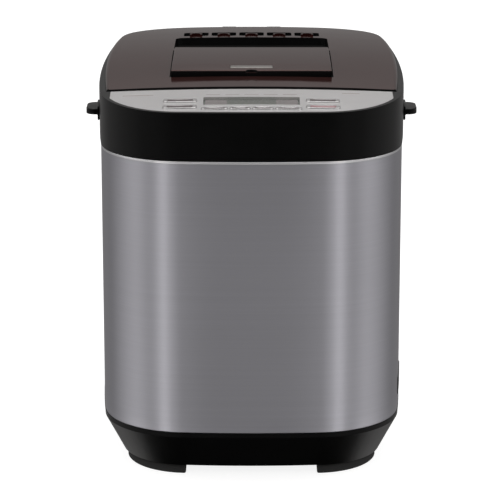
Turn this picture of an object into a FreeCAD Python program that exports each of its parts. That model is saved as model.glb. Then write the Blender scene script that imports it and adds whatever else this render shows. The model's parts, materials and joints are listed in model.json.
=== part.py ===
import FreeCAD, Part
import math
import os
import re

import Sketcher
from FreeCAD import Placement, Rotation, Vector

# Bread machine. Millimetres, +Z up, origin under the middle of the body on the surface it stands on,
# front towards -Y. "Setback" is measured backwards from the middle of the front.
SIZES = {
    # plan outline: four bowed sides joined by round corners
    "body_width": 250,
    "body_depth": 356,
    "front_fall": 11.675,
    "side_fall": 13.2751,
    "corner_round": 69,
    # casing, from the table upwards
    "base_bottom": 8.5,
    "base_top": 46,
    "skirt_top": 42,
    "skirt_side_inset": 16,
    "skirt_front_inset": 29.5,
    "skirt_corner": 54,
    "base_inset": 0.5,
    "base_wall": 2.5,
    "foot_inset": 3,
    "foot_length": 48,
    "foot_width": 53,
    "foot_round": 5,
    "wrap_inset": 0.8,
    "wrap_thick": 0.8,
    "wrap_top": 267,
    "collar_wall": 3,
    "rim_height": 307.5,
    "rim_width": 10,
    "rim_round": 3,
    "deck_height": 300,
    "deck_thick": 3,
    # sloping control panel in front of the lid
    "panel_front_height": 305.5,
    "panel_setback": 3,
    "panel_slope": 6.4,
    "panel_crown": 2800,
    "panel_end": 61,
    "panel_width": 222,
    "fascia_thick": 2,
    "frame_thick": 2,
    "window_width": 75,
    "window_length": 19,
    "window_place": 28,
    "button_gap": 0.3,
    "button_proud": 0.8,
    "button_width": 26,
    "button_length": 8,
    "window_margin": 5,
    "upper_row": 29,
    "lower_row": 13.4,
    "bar_row": 8.2,
    "bar_length": 6,
    "bar_inner": 16.2,
    "bar_outer": 20.6,
    "bar_space": 1.4,
    "button_round": 2.4,
    "board_depth": 10,
    "board_thick": 1.6,
    "board_margin": 6.5,
    "board_length": 46,
    "board_room": 0.5,
    # lid
    "lid_inset": 5,
    "lid_gap": 0.8,
    "lid_front_gap": 1,
    "lid_peak": 318.5,
    "lid_peak_setback": 196,
    "lid_front_fall": 5.53,
    "lid_side_fall": 2.5726,
    "lid_wall": 2.5,
    "lid_round": 1,
    "hinge_drop": 0.6,
    "knuckle_radius": 3.6,
    "knuckle_length": 12,
    "knuckle_place": 14,
    "knuckle_gap": 0.5,
    "hinge_pin": 1.5,
    "running_fit": 0.05,
    "tray_side_room": 5,
    "tray_end_room": 4.5,
    "liner_bottom": 294,
    "liner_thick": 1.2,
    "liner_flange": 14,
    "flange_room": 21,
    "seal_gap": 0.3,
    "seal_offset": 3,
    "seal_width": 5,
    "boss_radius": 4,
    "boss_inset": 4,
    "boss_front_room": 21,
    "boss_rear_room": 25,
    # fruit and nut dispenser
    "door_width": 129,
    "door_front": 96,
    "door_length": 99.5,
    "door_bottom": 312,
    "door_top": 321,
    "door_nose": 0.9,
    "door_gap": 1.2,
    "door_wall": 2,
    "door_axis_inset": 4,
    "door_axis_height": 316.5,
    "door_pin": 1,
    "trough_start": 199,
    "trough_length": 64,
    "trough_width": 130.5,
    "trough_floor": 310,
    "trough_round": 7,
    "trough_wall": 1.6,
    "vent_start": 273,
    "vent_length": 24,
    "vent_width": 21.4,
    "vent_pitch": 24.1,
    "box_width": 110,
    "box_front": 118,
    "box_length": 56,
    "box_bottom": 285,
    "box_wall": 2,
    "ledge_height": 311,
    "ledge_thick": 1.6,
    "flap_thick": 2,
    "flap_gap": 0.3,
    "flap_pin": 1,
    "flap_knuckle": 2.2,
    "latch_travel": 4,
    "solenoid_length": 24,
    "solenoid_width": 16,
    "solenoid_height": 14,
    # oven
    "oven_side_room": 30,
    "oven_front_room": 92.5,
    "oven_rear_room": 28.5,
    "oven_round": 25,
    "oven_floor": 100,
    "sheet_thick": 0.8,
    "oven_flange": 6,
    "element_radius": 3.3,
    "element_height": 116,
    "element_side_room": 11,
    "element_end_room": 11.5,
    "element_round": 30,
    "socket_radius": 34,
    "socket_height": 11,
    "hub_radius": 24,
    "hub_gap": 0.4,
    # bread pan
    "pan_side_room": 21,
    "pan_end_room": 21.5,
    "pan_round": 24,
    "pan_floor": 122,
    "pan_height": 148,
    "pan_wall": 1.5,
    "pan_draft": 2,
    "pan_rim": 4,
    "shaft_radius": 4,
    "blade_length": 52,
    "blade_height": 26,
    "bail_radius": 2.2,
    "bail_end_room": 10,
    "bail_side_room": 7,
    "bail_height": 262,
    # drive
    "chassis_height": 92,
    "chassis_thick": 2,
    "chassis_side_room": 29,
    "chassis_front_room": 79,
    "chassis_rear_room": 27,
    "drive_pulley": 45,
    "motor_pulley": 9,
    "pulley_bottom": 26,
    "pulley_height": 12,
    "belt_thick": 1.6,
    "belt_gap": 0.3,
    "motor_setback": 108,
    "motor_radius": 34,
    "motor_bottom": 44,
    "motor_wall": 2.5,
    "motor_shaft": 3,
    "rod_radius": 2,
    "rod_side_room": 19,
    "rod_front_room": 108,
    "rod_rear_room": 58,
    "rod_seat": 36,
    # sides and rear
    "ear_place": -57,
    "ear_length": 28,
    "ear_reach": 9,
    "ear_thick": 5,
    "ear_top": 286.5,
    "ear_plate": 1.7,
    "ear_plate_height": 9.5,
    "vent_grille_front": 65,
    "vent_grille_length": 46,
    "vent_grille_bottom": 58,
    "vent_grille_height": 14,
    "gland_place": 70,
    "gland_height": 62,
    "gland_radius": 7,
}

doc = FreeCAD.newDocument("bread_machine")
sheet = doc.addObject("Spreadsheet::Sheet", "Sizes")
for row, (alias, value) in enumerate(SIZES.items(), 1):
    sheet.set(f"A{row}", alias)
    sheet.set(f"B{row}", str(value))
    sheet.setAlias(f"B{row}", alias)
doc.recompute()

ALONG_X = Rotation(Vector(0, 1, 0), 90)
ALONG_Y = Rotation(Vector(1, 0, 0), -90)
UPRIGHT = Rotation()
WORD = re.compile(r"[a-z][a-z_]*[a-z]")
parts = []


# ---------------------------------------------------------------- helpers

def linked(text):
    """The text of an expression with each size's name pointing at its cell."""
    return WORD.sub(lambda m: "Sizes." + m[0] if m[0] in SIZES else m[0], str(text))


def number(text):
    return float(sheet.evalExpression(linked(text)))


def bind(thing, **properties):
    for name, text in properties.items():
        thing.setExpression(name.replace("__", "."), linked(text))
    return thing


def place(thing, spot, turn=UPRIGHT):
    """Binds a thing's place; a turn is fixed."""
    thing.Placement = Placement(Vector(), turn)
    x, y, z = spot
    return bind(thing, Placement__Base__x=x, Placement__Base__y=y, Placement__Base__z=z)


def on_panel(thing, across, along, above, turn=UPRIGHT):
    """Binds a place in the panel's own axes: across it, up its slope and above its surface."""
    tilt = Rotation(Vector(1, 0, 0), number("panel_slope"))
    thing.Placement = Placement(Vector(), tilt.multiply(turn))
    front = "(panel_setback - body_depth / 2)"
    return bind(
        thing,
        Placement__Base__x=across,
        Placement__Base__y=f"{front} + ({along}) * cos(panel_slope) - ({above}) * sin(panel_slope)",
        Placement__Base__z=f"panel_front_height + ({along}) * sin(panel_slope)"
                           f" + ({above}) * cos(panel_slope)",
    )


def box(size, spot, name="block"):
    block = doc.addObject("Part::Box", name)
    bind(block, Length=size[0], Width=size[1], Height=size[2])
    return place(block, spot)


def centred_box(size, spot, name="block"):
    """A box centred across and along, standing on its spot's height."""
    x, y, z = spot
    return box(size, (f"{x} - ({size[0]}) / 2", f"{y} - ({size[1]}) / 2", z), name)


def rod(radius, length, spot, turn=UPRIGHT, name="rod"):
    thing = doc.addObject("Part::Cylinder", name)
    bind(thing, Radius=radius, Height=length)
    return place(thing, spot, turn)


def ring(outer, inner, length, spot, turn=UPRIGHT):
    return cut(rod(outer, length, spot, turn), rod(inner, length, spot, turn))


def joined(kind, shapes, name):
    if len(shapes) == 1:
        return shapes[0]
    thing = doc.addObject(kind, name)
    thing.Shapes = list(shapes)
    return thing


def fuse(*shapes):
    return joined("Part::MultiFuse", shapes, "fused")


def common(*shapes):
    return joined("Part::MultiCommon", shapes, "shared")


def cut(base, *tools):
    thing = doc.addObject("Part::Cut", "cut")
    thing.Base = base
    thing.Tool = fuse(*tools)
    return thing


def together(*shapes):
    """Separate solids in one group."""
    thing = doc.addObject("Part::Compound", "group")
    thing.Links = list(shapes)
    return thing


def mirrored(thing):
    """The same piece on the other side of the middle plane."""
    other = doc.addObject("Part::Mirroring", "mirrored")
    other.Source = thing
    other.Normal = Vector(1, 0, 0)
    return other


def part(label, thing):
    thing.Label = label
    parts.append(thing)
    return thing


def new_body(name):
    return doc.addObject("PartDesign::Body", name)


def plane_of(body, role):
    return next(f for f in body.Origin.OriginFeatures if f.Role == role)


def sketch_on(body, height, role="XY_Plane"):
    sketch = body.newObject("Sketcher::SketchObject", "sketch")
    sketch.AttachmentSupport = (plane_of(body, role), [""])
    sketch.MapMode = "FlatFace"
    return bind(sketch, AttachmentOffset__Base__z=height)


def pin_point(sketch, geometry, point, x, y):
    """Ties a point of the sketch to its distances from the origin."""
    for kind, text, axis in (("DistanceX", x, -2), ("DistanceY", y, -1)):
        away = number(text)
        if abs(away) < 1e-9:
            sketch.addConstraint(Sketcher.Constraint("PointOnObject", geometry, point, axis))
        elif away > 0:
            index = sketch.addConstraint(Sketcher.Constraint(kind, -1, 1, geometry, point, away))
            sketch.setExpression(f"Constraints[{index}]", linked(text))
        else:
            index = sketch.addConstraint(Sketcher.Constraint(kind, geometry, point, -1, 1, -away))
            sketch.setExpression(f"Constraints[{index}]", linked(f"-({text})"))


def pin_radius(sketch, geometry, text):
    index = sketch.addConstraint(Sketcher.Constraint("Radius", geometry, number(text)))
    sketch.setExpression(f"Constraints[{index}]", linked(text))


def arc(x, y, radius, start, end):
    return Part.ArcOfCircle(Part.Circle(Vector(x, y, 0), Vector(0, 0, 1), radius), start, end)


def plan_outline(sketch, inset_side="0", inset_front="0", corner=None):
    """The body's plan: eight arcs, each tangent to the next, set in from the full outline."""
    half = f"body_width / 2 - ({inset_side})"
    deep = f"body_depth / 2 - ({inset_front})"
    front_arc = f"{FRONT_BOW} - ({inset_front})"
    side_arc = f"{SIDE_BOW} - ({inset_side})"
    corner = corner or f"corner_round - ({inset_side})"
    big, side, small = number(front_arc), number(side_arc), number(corner)
    up, out = big - number(deep), side - number(half)
    # the corner's centre, from the centres of the two bows that it touches
    span = math.hypot(out, up)
    along = ((big - small) ** 2 - (side - small) ** 2 + span**2) / (2 * span)
    off = math.sqrt((big - small) ** 2 - along**2)
    x = (-out * along + up * off) / span
    y = -up + (up * along + out * off) / span
    steep = math.atan2(-(y + up), x)
    shallow = math.atan2(-y, x + out)
    turn = math.pi
    arcs = (
        (0, up, big, -turn - steep, steep),
        (x, -y, small, steep, shallow),
        (-out, 0, side, shallow, -shallow),
        (x, y, small, -shallow, -steep),
        (0, -up, big, -steep, turn + steep),
        (-x, y, small, turn + steep, turn + shallow),
        (out, 0, side, turn + shallow, turn - shallow),
        (-x, -y, small, turn - shallow, turn - steep),
    )
    for one in arcs:
        sketch.addGeometry(arc(*one), False)
    for n in range(8):
        sketch.addConstraint(Sketcher.Constraint("Tangent", n, 2, (n + 1) % 8, 1))
    for n, sign in ((0, ""), (4, "-")):
        pin_point(sketch, n, 3, "0", f"{sign}({front_arc} - ({deep}))")
        pin_radius(sketch, n, front_arc)
    for n, sign in ((2, "-"), (6, "")):
        pin_point(sketch, n, 3, f"{sign}({side_arc} - ({half}))", "0")
        pin_radius(sketch, n, side_arc)
    for n in (1, 3, 5, 7):
        pin_radius(sketch, n, corner)
    return sketch


def round_rectangle(sketch, width, length, corner, y="0", x="0"):
    """A rectangle with round corners about a centre: straight sides tangent to four arcs."""
    w, l, r = number(width) / 2, number(length) / 2, number(corner)
    cx, cy = number(x), number(y)
    quarter = math.pi / 2
    centres = ((1, -1, -quarter), (1, 1, 0), (-1, 1, quarter), (-1, -1, 2 * quarter))
    for right, back, start in centres:
        middle = (cx + right * (w - r), cy + back * (l - r))
        sketch.addGeometry(arc(*middle, r, start, start + quarter), False)
    for n in range(4):
        a = sketch.Geometry[n].EndPoint
        b = sketch.Geometry[(n + 1) % 4].StartPoint
        sketch.addGeometry(Part.LineSegment(a, b), False)
    for n in range(4):
        sketch.addConstraint(Sketcher.Constraint("Tangent", n, 2, 4 + n, 1))
        sketch.addConstraint(Sketcher.Constraint("Tangent", 4 + n, 2, (n + 1) % 4, 1))
    for n in range(4):
        right, back, _ = centres[n]
        pin_point(
            sketch, n, 3,
            f"({x}) + {right} * (({width}) / 2 - ({corner}))",
            f"({y}) + {back} * (({length}) / 2 - ({corner}))",
        )
    pin_radius(sketch, 0, corner)
    return sketch


def polygon(sketch, points):
    """Straight lines from point to point, each point tied to its own sizes."""
    spots = [Vector(number(x), number(y), 0) for x, y in points]
    count = len(spots)
    for n in range(count):
        sketch.addGeometry(Part.LineSegment(spots[n], spots[(n + 1) % count]), False)
    for n in range(count):
        sketch.addConstraint(Sketcher.Constraint("Coincident", n, 2, (n + 1) % count, 1))
    for n, (x, y) in enumerate(points):
        pin_point(sketch, n, 1, x, y)
    return sketch


def pad(body, sketch, length, taper=None, downwards=False, midplane=False):
    feature = body.newObject("PartDesign::Pad", "pad")
    feature.Profile = sketch
    feature.Reversed = downwards
    feature.Midplane = midplane
    bind(feature, Length=length)
    if taper:
        bind(feature, TaperAngle=taper)
    doc.recompute()
    return feature


def rounded(body, feature, radius, chosen):
    """Rounds the edges of a feature that a test chooses."""
    names = [
        f"Edge{n}" for n, edge in enumerate(feature.Shape.Edges, 1) if chosen(edge)
    ]
    fillet = body.newObject("PartDesign::Fillet", "fillet")
    fillet.Base = (feature, names)
    bind(fillet, Radius=radius)
    doc.recompute()
    return fillet


def outline_prism(bottom, top, inset="0"):
    body = new_body("prism")
    pad(body, plan_outline(sketch_on(body, bottom), inset, inset), f"({top}) - ({bottom})")
    return body


def soft_box(width, length, corner, bottom, top, y="0", x="0", taper=None):
    """A box with round upright corners. A taper narrows it downwards from its top."""
    body = new_body("soft_box")
    start = top if taper else bottom
    sketch = round_rectangle(sketch_on(body, start), width, length, corner, y, x)
    pad(body, sketch, f"({top}) - ({bottom})", taper, downwards=bool(taper))
    return body


def level(edge, height):
    return all(abs(v.Point.z - height) < 1e-3 for v in edge.Vertexes)


# ---------------------------------------------------------------- places worked out from the sizes

FRONT = "(-body_depth / 2)"
FRONT_BOW = "(((body_width / 2) ^ 2 + front_fall ^ 2) / (2 * front_fall))"
SIDE_BOW = "(((body_depth / 2) ^ 2 + side_fall ^ 2) / (2 * side_fall))"
HINGE_Y = "(body_depth / 2 - lid_inset + hinge_drop)"
HINGE_Z = "(rim_height + lid_gap / 2)"
LID_FRONT = "(panel_end + lid_front_gap / 2 - body_depth / 2)"
LID_BOTTOM = "(rim_height + lid_gap)"
DOOR_FRONT = "(door_front - body_depth / 2)"
DOOR_REAR = "(door_front + door_length - body_depth / 2)"
DOOR_AXIS_Y = "(door_front + door_length - door_axis_inset - body_depth / 2)"
TROUGH_Y = "(trough_start + trough_length / 2 - body_depth / 2)"
BOX_FRONT = "(box_front - body_depth / 2)"
FLAP_Y = "(box_front + box_length + flap_knuckle + flap_gap - body_depth / 2)"
FLAP_Z = "(box_bottom - flap_gap - flap_thick / 2)"
LATCH_Y = "(box_front + 30 - body_depth / 2)"
OVEN_Y = "((oven_front_room - oven_rear_room) / 2)"
OVEN_WIDTH = "(body_width - 2 * oven_side_room)"
OVEN_LENGTH = "(body_depth - oven_front_room - oven_rear_room)"
OVEN_FRONT = "(oven_front_room - body_depth / 2)"
TRAY_WIDTH = f"({OVEN_WIDTH} - 2 * tray_side_room)"
TRAY_LENGTH = f"({OVEN_LENGTH} - 2 * tray_end_room)"
FLANGE_CORNER = "(corner_round - rim_width - flange_room)"
ELEMENT_WIDE = f"({OVEN_WIDTH} - 2 * element_side_room)"
ELEMENT_LONG = f"({OVEN_LENGTH} - 2 * element_end_room)"
PAN_WIDTH = f"({OVEN_WIDTH} - 2 * pan_side_room)"
PAN_LENGTH = f"({OVEN_LENGTH} - 2 * pan_end_room)"
BAIL_HALF = f"({PAN_WIDTH} / 2 + bail_side_room)"
BAIL_REACH = f"({PAN_LENGTH} / 2 + bail_end_room)"
CHASSIS_Y = "((chassis_front_room - chassis_rear_room) / 2)"
CHASSIS_WIDTH = "(body_width - 2 * chassis_side_room)"
CHASSIS_LENGTH = "(body_depth - chassis_front_room - chassis_rear_room)"
ROD_SIDE = "(body_width / 2 - rod_side_room)"
ROD_FRONT = "(rod_front_room - body_depth / 2)"
ROD_REAR = "(body_depth / 2 - rod_rear_room)"
MOTOR_Y = "(motor_setback - body_depth / 2)"
BUTTON_SIDE = "(window_width / 2 + window_margin + button_width / 2)"
BOARD_WIDTH = f"(2 * ({BUTTON_SIDE} + button_width / 2 + board_margin))"
LID_HALF_LENGTH = "(lid_peak_setback - panel_end - lid_front_gap / 2)"
LID_HALF_WIDTH = "(body_width / 2 - lid_inset)"
LID_BOW = f"(({LID_HALF_LENGTH} ^ 2 + lid_front_fall ^ 2) / (2 * lid_front_fall))"
LID_CROWN = f"(({LID_HALF_WIDTH} ^ 2 + lid_side_fall ^ 2) / (2 * lid_side_fall))"
FLOOR_TOP = "(base_bottom + base_wall)"
OVEN_TOP = "(deck_height - deck_thick)"
PLATE_BOTTOM = "(-fascia_thick - frame_thick)"


# ---------------------------------------------------------------- casing

def skirt(inset, bottom):
    """The base's solid form: a straight band on a skirt that draws in towards the table."""
    body = new_body("skirt")
    band = sketch_on(body, "skirt_top")
    plan_outline(band, f"base_inset + {inset}", f"base_inset + {inset}")
    pad(body, band, "base_top - skirt_top")
    top = plan_outline(sketch_on(body, "skirt_top"), f"base_inset + {inset}", f"base_inset + {inset}")
    share = f"(skirt_top - ({bottom})) / (skirt_top - base_bottom)"
    foot = plan_outline(
        sketch_on(body, bottom),
        f"base_inset + {inset} + (skirt_side_inset - base_inset) * {share}",
        f"base_inset + {inset} + (skirt_front_inset - base_inset) * {share}",
        f"corner_round - {inset} + (skirt_corner - corner_round) * {share}",
    )
    loft = body.newObject("PartDesign::AdditiveLoft", "loft")
    loft.Profile = top
    loft.Sections = [foot]
    loft.Ruled = True
    doc.recompute()
    return body


def make_base():
    shell = cut(skirt("0", "base_bottom"), skirt("base_wall", FLOOR_TOP))
    slots = [
        box(("4", "40", "base_wall + 2"), (f"{-60 + 10 * n} - 2", "20", "base_bottom - 1"))
        for n in range(13)
    ]
    bosses = common(skirt("0", "base_bottom"), fuse(*[
        rod("rod_radius + 4", f"rod_seat - {FLOOR_TOP}", (f"{side} * {ROD_SIDE}", y, FLOOR_TOP))
        for side in (-1, 1) for y in (ROD_FRONT, ROD_REAR)
    ]))
    part("base_pan", fuse(cut(shell, *slots), bosses))


def make_feet():
    """Pads that follow the base's round corners, with straight inner edges."""
    half = "(body_width / 2 - skirt_side_inset - foot_inset)"
    deep = "(body_depth / 2 - skirt_front_inset - foot_inset)"
    feet = []
    for side in (-1, 1):
        for end in (-1, 1):
            ring = new_body("foot_ring")
            outline = plan_outline(
                sketch_on(ring, "0"), "skirt_side_inset + foot_inset",
                "skirt_front_inset + foot_inset", "skirt_corner - foot_inset",
            )
            pad(ring, outline, "base_bottom")
            feet.append(common(ring, soft_box(
                "foot_width * 2", "foot_length * 2", "foot_round", "-1", "base_bottom + 1",
                f"{end} * {deep}", f"{side} * {half}",
            )))
    part("foot_pads", together(*feet))


def make_wrap():
    outer = outline_prism("base_top", "wrap_top", "wrap_inset")
    inner = outline_prism("base_top - 1", "wrap_top + 1", "wrap_inset + wrap_thick")
    part("outer_wrap", cut(
        outer, inner,
        rod("gland_radius + 0.2", "40",
            ("gland_place", "body_depth / 2 - 30", "gland_height"), ALONG_Y),
        box(("20", "vent_grille_length - 4", "vent_grille_height - 4"),
            ("body_width / 2 - 15", f"{FRONT} + vent_grille_front + 2", "vent_grille_bottom + 2")),
    ))


def crown_cylinder(drop):
    """The panel's surface: a very wide cylinder that lies along the slope."""
    thing = doc.addObject("Part::Cylinder", "crown")
    bind(thing, Radius=f"panel_crown - ({drop})", Height="panel_end + 60")
    return on_panel(thing, "0", "-30", "-panel_crown", ALONG_Y)


def panel_box(width, length, across, along, low, high):
    """A box in the panel's axes, centred across and along."""
    block = doc.addObject("Part::Box", "block")
    bind(block, Length=width, Width=length, Height=f"({high}) - ({low})")
    return on_panel(block, f"({across}) - ({width}) / 2", f"({along}) - ({length}) / 2", low)


def panel_pill(width, length, corner, across, along, low, high):
    """A soft cornered prism in the panel's axes."""
    body = new_body("pill")
    sketch = round_rectangle(sketch_on(body, "0"), width, length, corner)
    pad(body, sketch, f"({high}) - ({low})")
    return on_panel(body, across, along, low)


def button_places():
    """Name, width, length, place across and place along of each button."""
    bar = "bar_inner / 2 + bar_space / 2"
    outer = "bar_inner + 1.5 * bar_space + bar_outer / 2"
    return (
        ("button_left_upper", "button_width", "button_length", f"-{BUTTON_SIDE}", "upper_row"),
        ("button_left_lower", "button_width", "button_length", f"-{BUTTON_SIDE}", "lower_row"),
        ("button_right_upper", "button_width", "button_length", BUTTON_SIDE, "upper_row"),
        ("button_right_lower", "button_width", "button_length", BUTTON_SIDE, "lower_row"),
        ("button_bar_first", "bar_outer", "bar_length", f"-({outer})", "bar_row"),
        ("button_bar_second", "bar_inner", "bar_length", f"-({bar})", "bar_row"),
        ("button_bar_third", "bar_inner", "bar_length", bar, "bar_row"),
        ("button_bar_fourth", "bar_outer", "bar_length", outer, "bar_row"),
    )


def panel_openings(low, high):
    """The holes for the window and the buttons, through the fascia or the plate under it."""
    gap = "2 * button_gap"
    holes = [panel_box("window_width", "window_length", "0", "window_place", low, high)]
    for _, width, length, across, along in button_places():
        holes.append(panel_pill(
            f"{width} + {gap}", f"{length} + {gap}", "button_round + button_gap",
            across, along, low, high))
    return holes


def make_collar():
    front_zone = box(("body_width + 20", "panel_end + 20", "80"),
                     ("-body_width / 2 - 10", f"{FRONT} - 20", "wrap_top - 20"))
    rear_zone = box(("body_width + 20", "body_depth", "80"),
                    ("-body_width / 2 - 10", f"{FRONT} + panel_end", "wrap_top - 20"))
    rear = new_body("rear_form")
    form = pad(rear, plan_outline(sketch_on(rear, "wrap_top")), "rim_height - wrap_top")
    rounded(rear, form, "rim_round", lambda e: level(e, number("rim_height")))
    front = common(outline_prism("wrap_top", "rim_height + 12"), front_zone, crown_cylinder("0"))
    seat = cut(
        common(outline_prism("wrap_top", "rim_height + 20", "panel_setback - 0.1"),
               panel_box("panel_width + 0.2", "panel_end + 40", "0", "panel_end / 2 - 20",
                         "-fascia_thick - 4", "20")),
        crown_cylinder("fascia_thick"))
    hollow_rear = common(
        outline_prism("wrap_top - 1", OVEN_TOP, "collar_wall"),
        box(("body_width", "body_depth", "80"),
            ("-body_width / 2", f"{FRONT} + panel_end - 0.01", "wrap_top - 5")))
    hollow_front = common(
        outline_prism("wrap_top - 1", "rim_height + 12", "collar_wall"),
        box(("body_width", "panel_end - collar_wall + 0.5", "80"),
            ("-body_width / 2", FRONT, "wrap_top - 5")),
        crown_cylinder("fascia_thick + frame_thick"))
    passage = box(("body_width - 30", "collar_wall + 6", "26"),
                  ("-body_width / 2 + 15", f"{FRONT} + panel_end - collar_wall - 2", "wrap_top - 1"))
    recess = common(
        outline_prism("deck_height", "rim_height + 20", "rim_width"),
        box(("body_width", "body_depth", "80"),
            ("-body_width / 2", f"{FRONT} + panel_end + collar_wall", "deck_height - 10")))
    mouth = soft_box(OVEN_WIDTH, OVEN_LENGTH, "oven_round", f"{OVEN_TOP} - 1",
                     "deck_height + 1", OVEN_Y)
    knuckle_room = [
        rod("knuckle_radius + knuckle_gap", "knuckle_length + 2 * knuckle_gap",
            (start, HINGE_Y, HINGE_Z), ALONG_X)
        for start in ("knuckle_place + knuckle_length",
                      "-knuckle_place - 2 * knuckle_length - 2 * knuckle_gap")
    ]
    knuckles = []
    for start in ("knuckle_place", "-knuckle_place - knuckle_length"):
        barrel = rod("knuckle_radius", "knuckle_length", (start, HINGE_Y, HINGE_Z), ALONG_X)
        root = box(("knuckle_length", "knuckle_radius * 2", "6"),
                   (start, f"{HINGE_Y} - knuckle_radius", f"{HINGE_Z} - 6"))
        knuckles.append(fuse(barrel, root))
    pin_holes = [
        rod("hinge_pin", "2 * knuckle_length + knuckle_gap",
            (start, HINGE_Y, HINGE_Z), ALONG_X)
        for start in ("knuckle_place", "-knuckle_place - 2 * knuckle_length - knuckle_gap")
    ]
    shell = cut(
        fuse(front, common(rear, rear_zone)),
        seat, hollow_rear, hollow_front, passage, recess, mouth,
        *panel_openings("-fascia_thick - frame_thick - 1", "1"))
    posts = [
        panel_post(side, along) for side in (-1, 1) for along in ("21", "47")
    ]
    part("top_collar", cut(fuse(cut(shell, *knuckle_room), *knuckles, *posts), *pin_holes))


def panel_post(side, along):
    """A post under the panel that the control board is screwed to."""
    post = doc.addObject("Part::Cylinder", "post")
    bind(post, Radius="3", Height="board_depth - board_thick - fascia_thick - frame_thick + 0.5")
    return on_panel(post, f"{side} * ({BOARD_WIDTH} / 2 - 5)", along, "-board_depth + board_thick")


def make_panel():
    outline = common(
        outline_prism("wrap_top", "rim_height + 20", "panel_setback"),
        box(("panel_width", "panel_end - lid_front_gap / 2 + 5", "80"),
            ("-panel_width / 2", f"{FRONT} - 5", "wrap_top")))
    skin = cut(common(outline, crown_cylinder("0")), crown_cylinder("fascia_thick"))
    part("panel_fascia", cut(skin, *panel_openings("-fascia_thick - 2", "2")))
    part("display_window", panel_pill(
        "window_width - 0.4", "window_length - 0.4", "1", "0", "window_place", "-1.9", "-0.3"))
    part("display_module", fuse(
        panel_box("window_width - 2", "window_length - 1", "0", "window_place", "-5", "-1.9"),
        panel_box("window_width - 12", "window_length - 3", "0", "window_place",
                  "-board_depth + board_thick", "-5")))
    board = common(
        panel_box(BOARD_WIDTH, "board_length", "0", "28", "-board_depth",
                  "-board_depth + board_thick"),
        outline_prism("wrap_top", "rim_height + 20", "collar_wall + board_room"))
    chips = [
        panel_box("12", "8", f"{x}", "27", "-board_depth - 2.2", "-board_depth")
        for x in (-60, -30, 30, 60)
    ]
    part("control_board", fuse(board, *chips, *make_buttons()))
    head = "-board_depth - 1.8"
    screws = []
    for side in (-1, 1):
        for along in ("21", "47"):
            screw = doc.addObject("Part::Cylinder", "screw_head")
            bind(screw, Radius="2.6", Height="1.8")
            screws.append(on_panel(screw, f"{side} * ({BOARD_WIDTH} / 2 - 5)", along, head))
    part("board_screws", together(*screws))


def make_buttons():
    """Caps that stand proud of the panel, each with a foot that presses its own switch."""
    foot_low = "-board_depth + board_thick + 1.9"
    switches = []
    for name, width, length, across, along in button_places():
        cap = common(
            panel_pill(width, length, "button_round", across, along, f"{PLATE_BOTTOM} - 1", "4"),
            crown_cylinder("-button_proud"))
        lip = panel_box(width + " + 0.9", length + " - 0.6", across, along,
                        f"{PLATE_BOTTOM} - 1.8", f"{PLATE_BOTTOM} - 1")
        foot = panel_box("3", "3", across, along, foot_low, f"{PLATE_BOTTOM} - 1.6")
        part(name, fuse(cap, lip, foot))
        switches.append(panel_box("6", "5.6", across, along, "-board_depth + board_thick",
                                  "-board_depth + board_thick + 1"))
    return switches


def make_side_pieces():
    outside = outline_prism("wrap_top - 10", "rim_height", "-ear_plate")
    inside = outline_prism("wrap_top - 12", "rim_height + 2", "0")
    plate = common(
        cut(outside, inside),
        box(("20", "ear_length", "ear_plate_height + 2"),
            ("body_width / 2 - 12", "ear_place - ear_length / 2", "ear_top - ear_plate_height")))
    body = new_body("ear_tab")
    sketch = round_rectangle(
        sketch_on(body, "ear_top - ear_thick"), "2 * ear_reach", "ear_length", "ear_reach * 0.8",
        "ear_place", "body_width / 2")
    pad(body, sketch, "ear_thick")
    tab = common(
        body,
        cut(box(("20", "ear_length + 4", "ear_thick + 2"),
                ("body_width / 2 - 10", "ear_place - ear_length / 2 - 2",
                 "ear_top - ear_thick - 1")),
            outline_prism("wrap_top - 20", "rim_height + 4", "0")))
    ear = fuse(plate, tab)
    part("side_handle_right", ear)
    part("side_handle_left", mirrored(ear))
    grille_box = box(("20", "vent_grille_length", "vent_grille_height"),
                     ("body_width / 2 - 15", f"{FRONT} + vent_grille_front", "vent_grille_bottom"))
    face = common(cut(outline_prism("base_top", "wrap_top", "wrap_inset - 0.6"),
                      outline_prism("base_top - 1", "wrap_top + 1", "wrap_inset")), grille_box)
    plug = common(cut(outline_prism("base_top", "wrap_top", "wrap_inset - 0.1"),
                      outline_prism("base_top - 1", "wrap_top + 1", "wrap_inset + wrap_thick + 1")),
                  box(("20", "vent_grille_length - 4.4", "vent_grille_height - 4.4"),
                      ("body_width / 2 - 15", f"{FRONT} + vent_grille_front + 2.2",
                       "vent_grille_bottom + 2.2")))
    slots = [
        box(("24", "2.2", "7"),
            ("body_width / 2 - 18", f"{FRONT} + vent_grille_front + {4.2 + 4.4 * n}",
             "vent_grille_bottom + 3.5"))
        for n in range(9)
    ]
    part("side_vent_grille", cut(fuse(face, plug), *slots))
    rear_skin = f"(body_depth / 2 - wrap_inset - gland_place ^ 2 / (2 * {FRONT_BOW}))"
    part("cord_gland", cut(
        fuse(rod("gland_radius", "wrap_thick + 9",
                 ("gland_place", f"{rear_skin} - 8", "gland_height"), ALONG_Y),
             rod("gland_radius + 3", "2.4",
                 ("gland_place", f"{rear_skin} + 1", "gland_height"), ALONG_Y)),
        rod("3.6", "20", ("gland_place", f"{rear_skin} - 10", "gland_height"), ALONG_Y)))


# ---------------------------------------------------------------- lid

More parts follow.
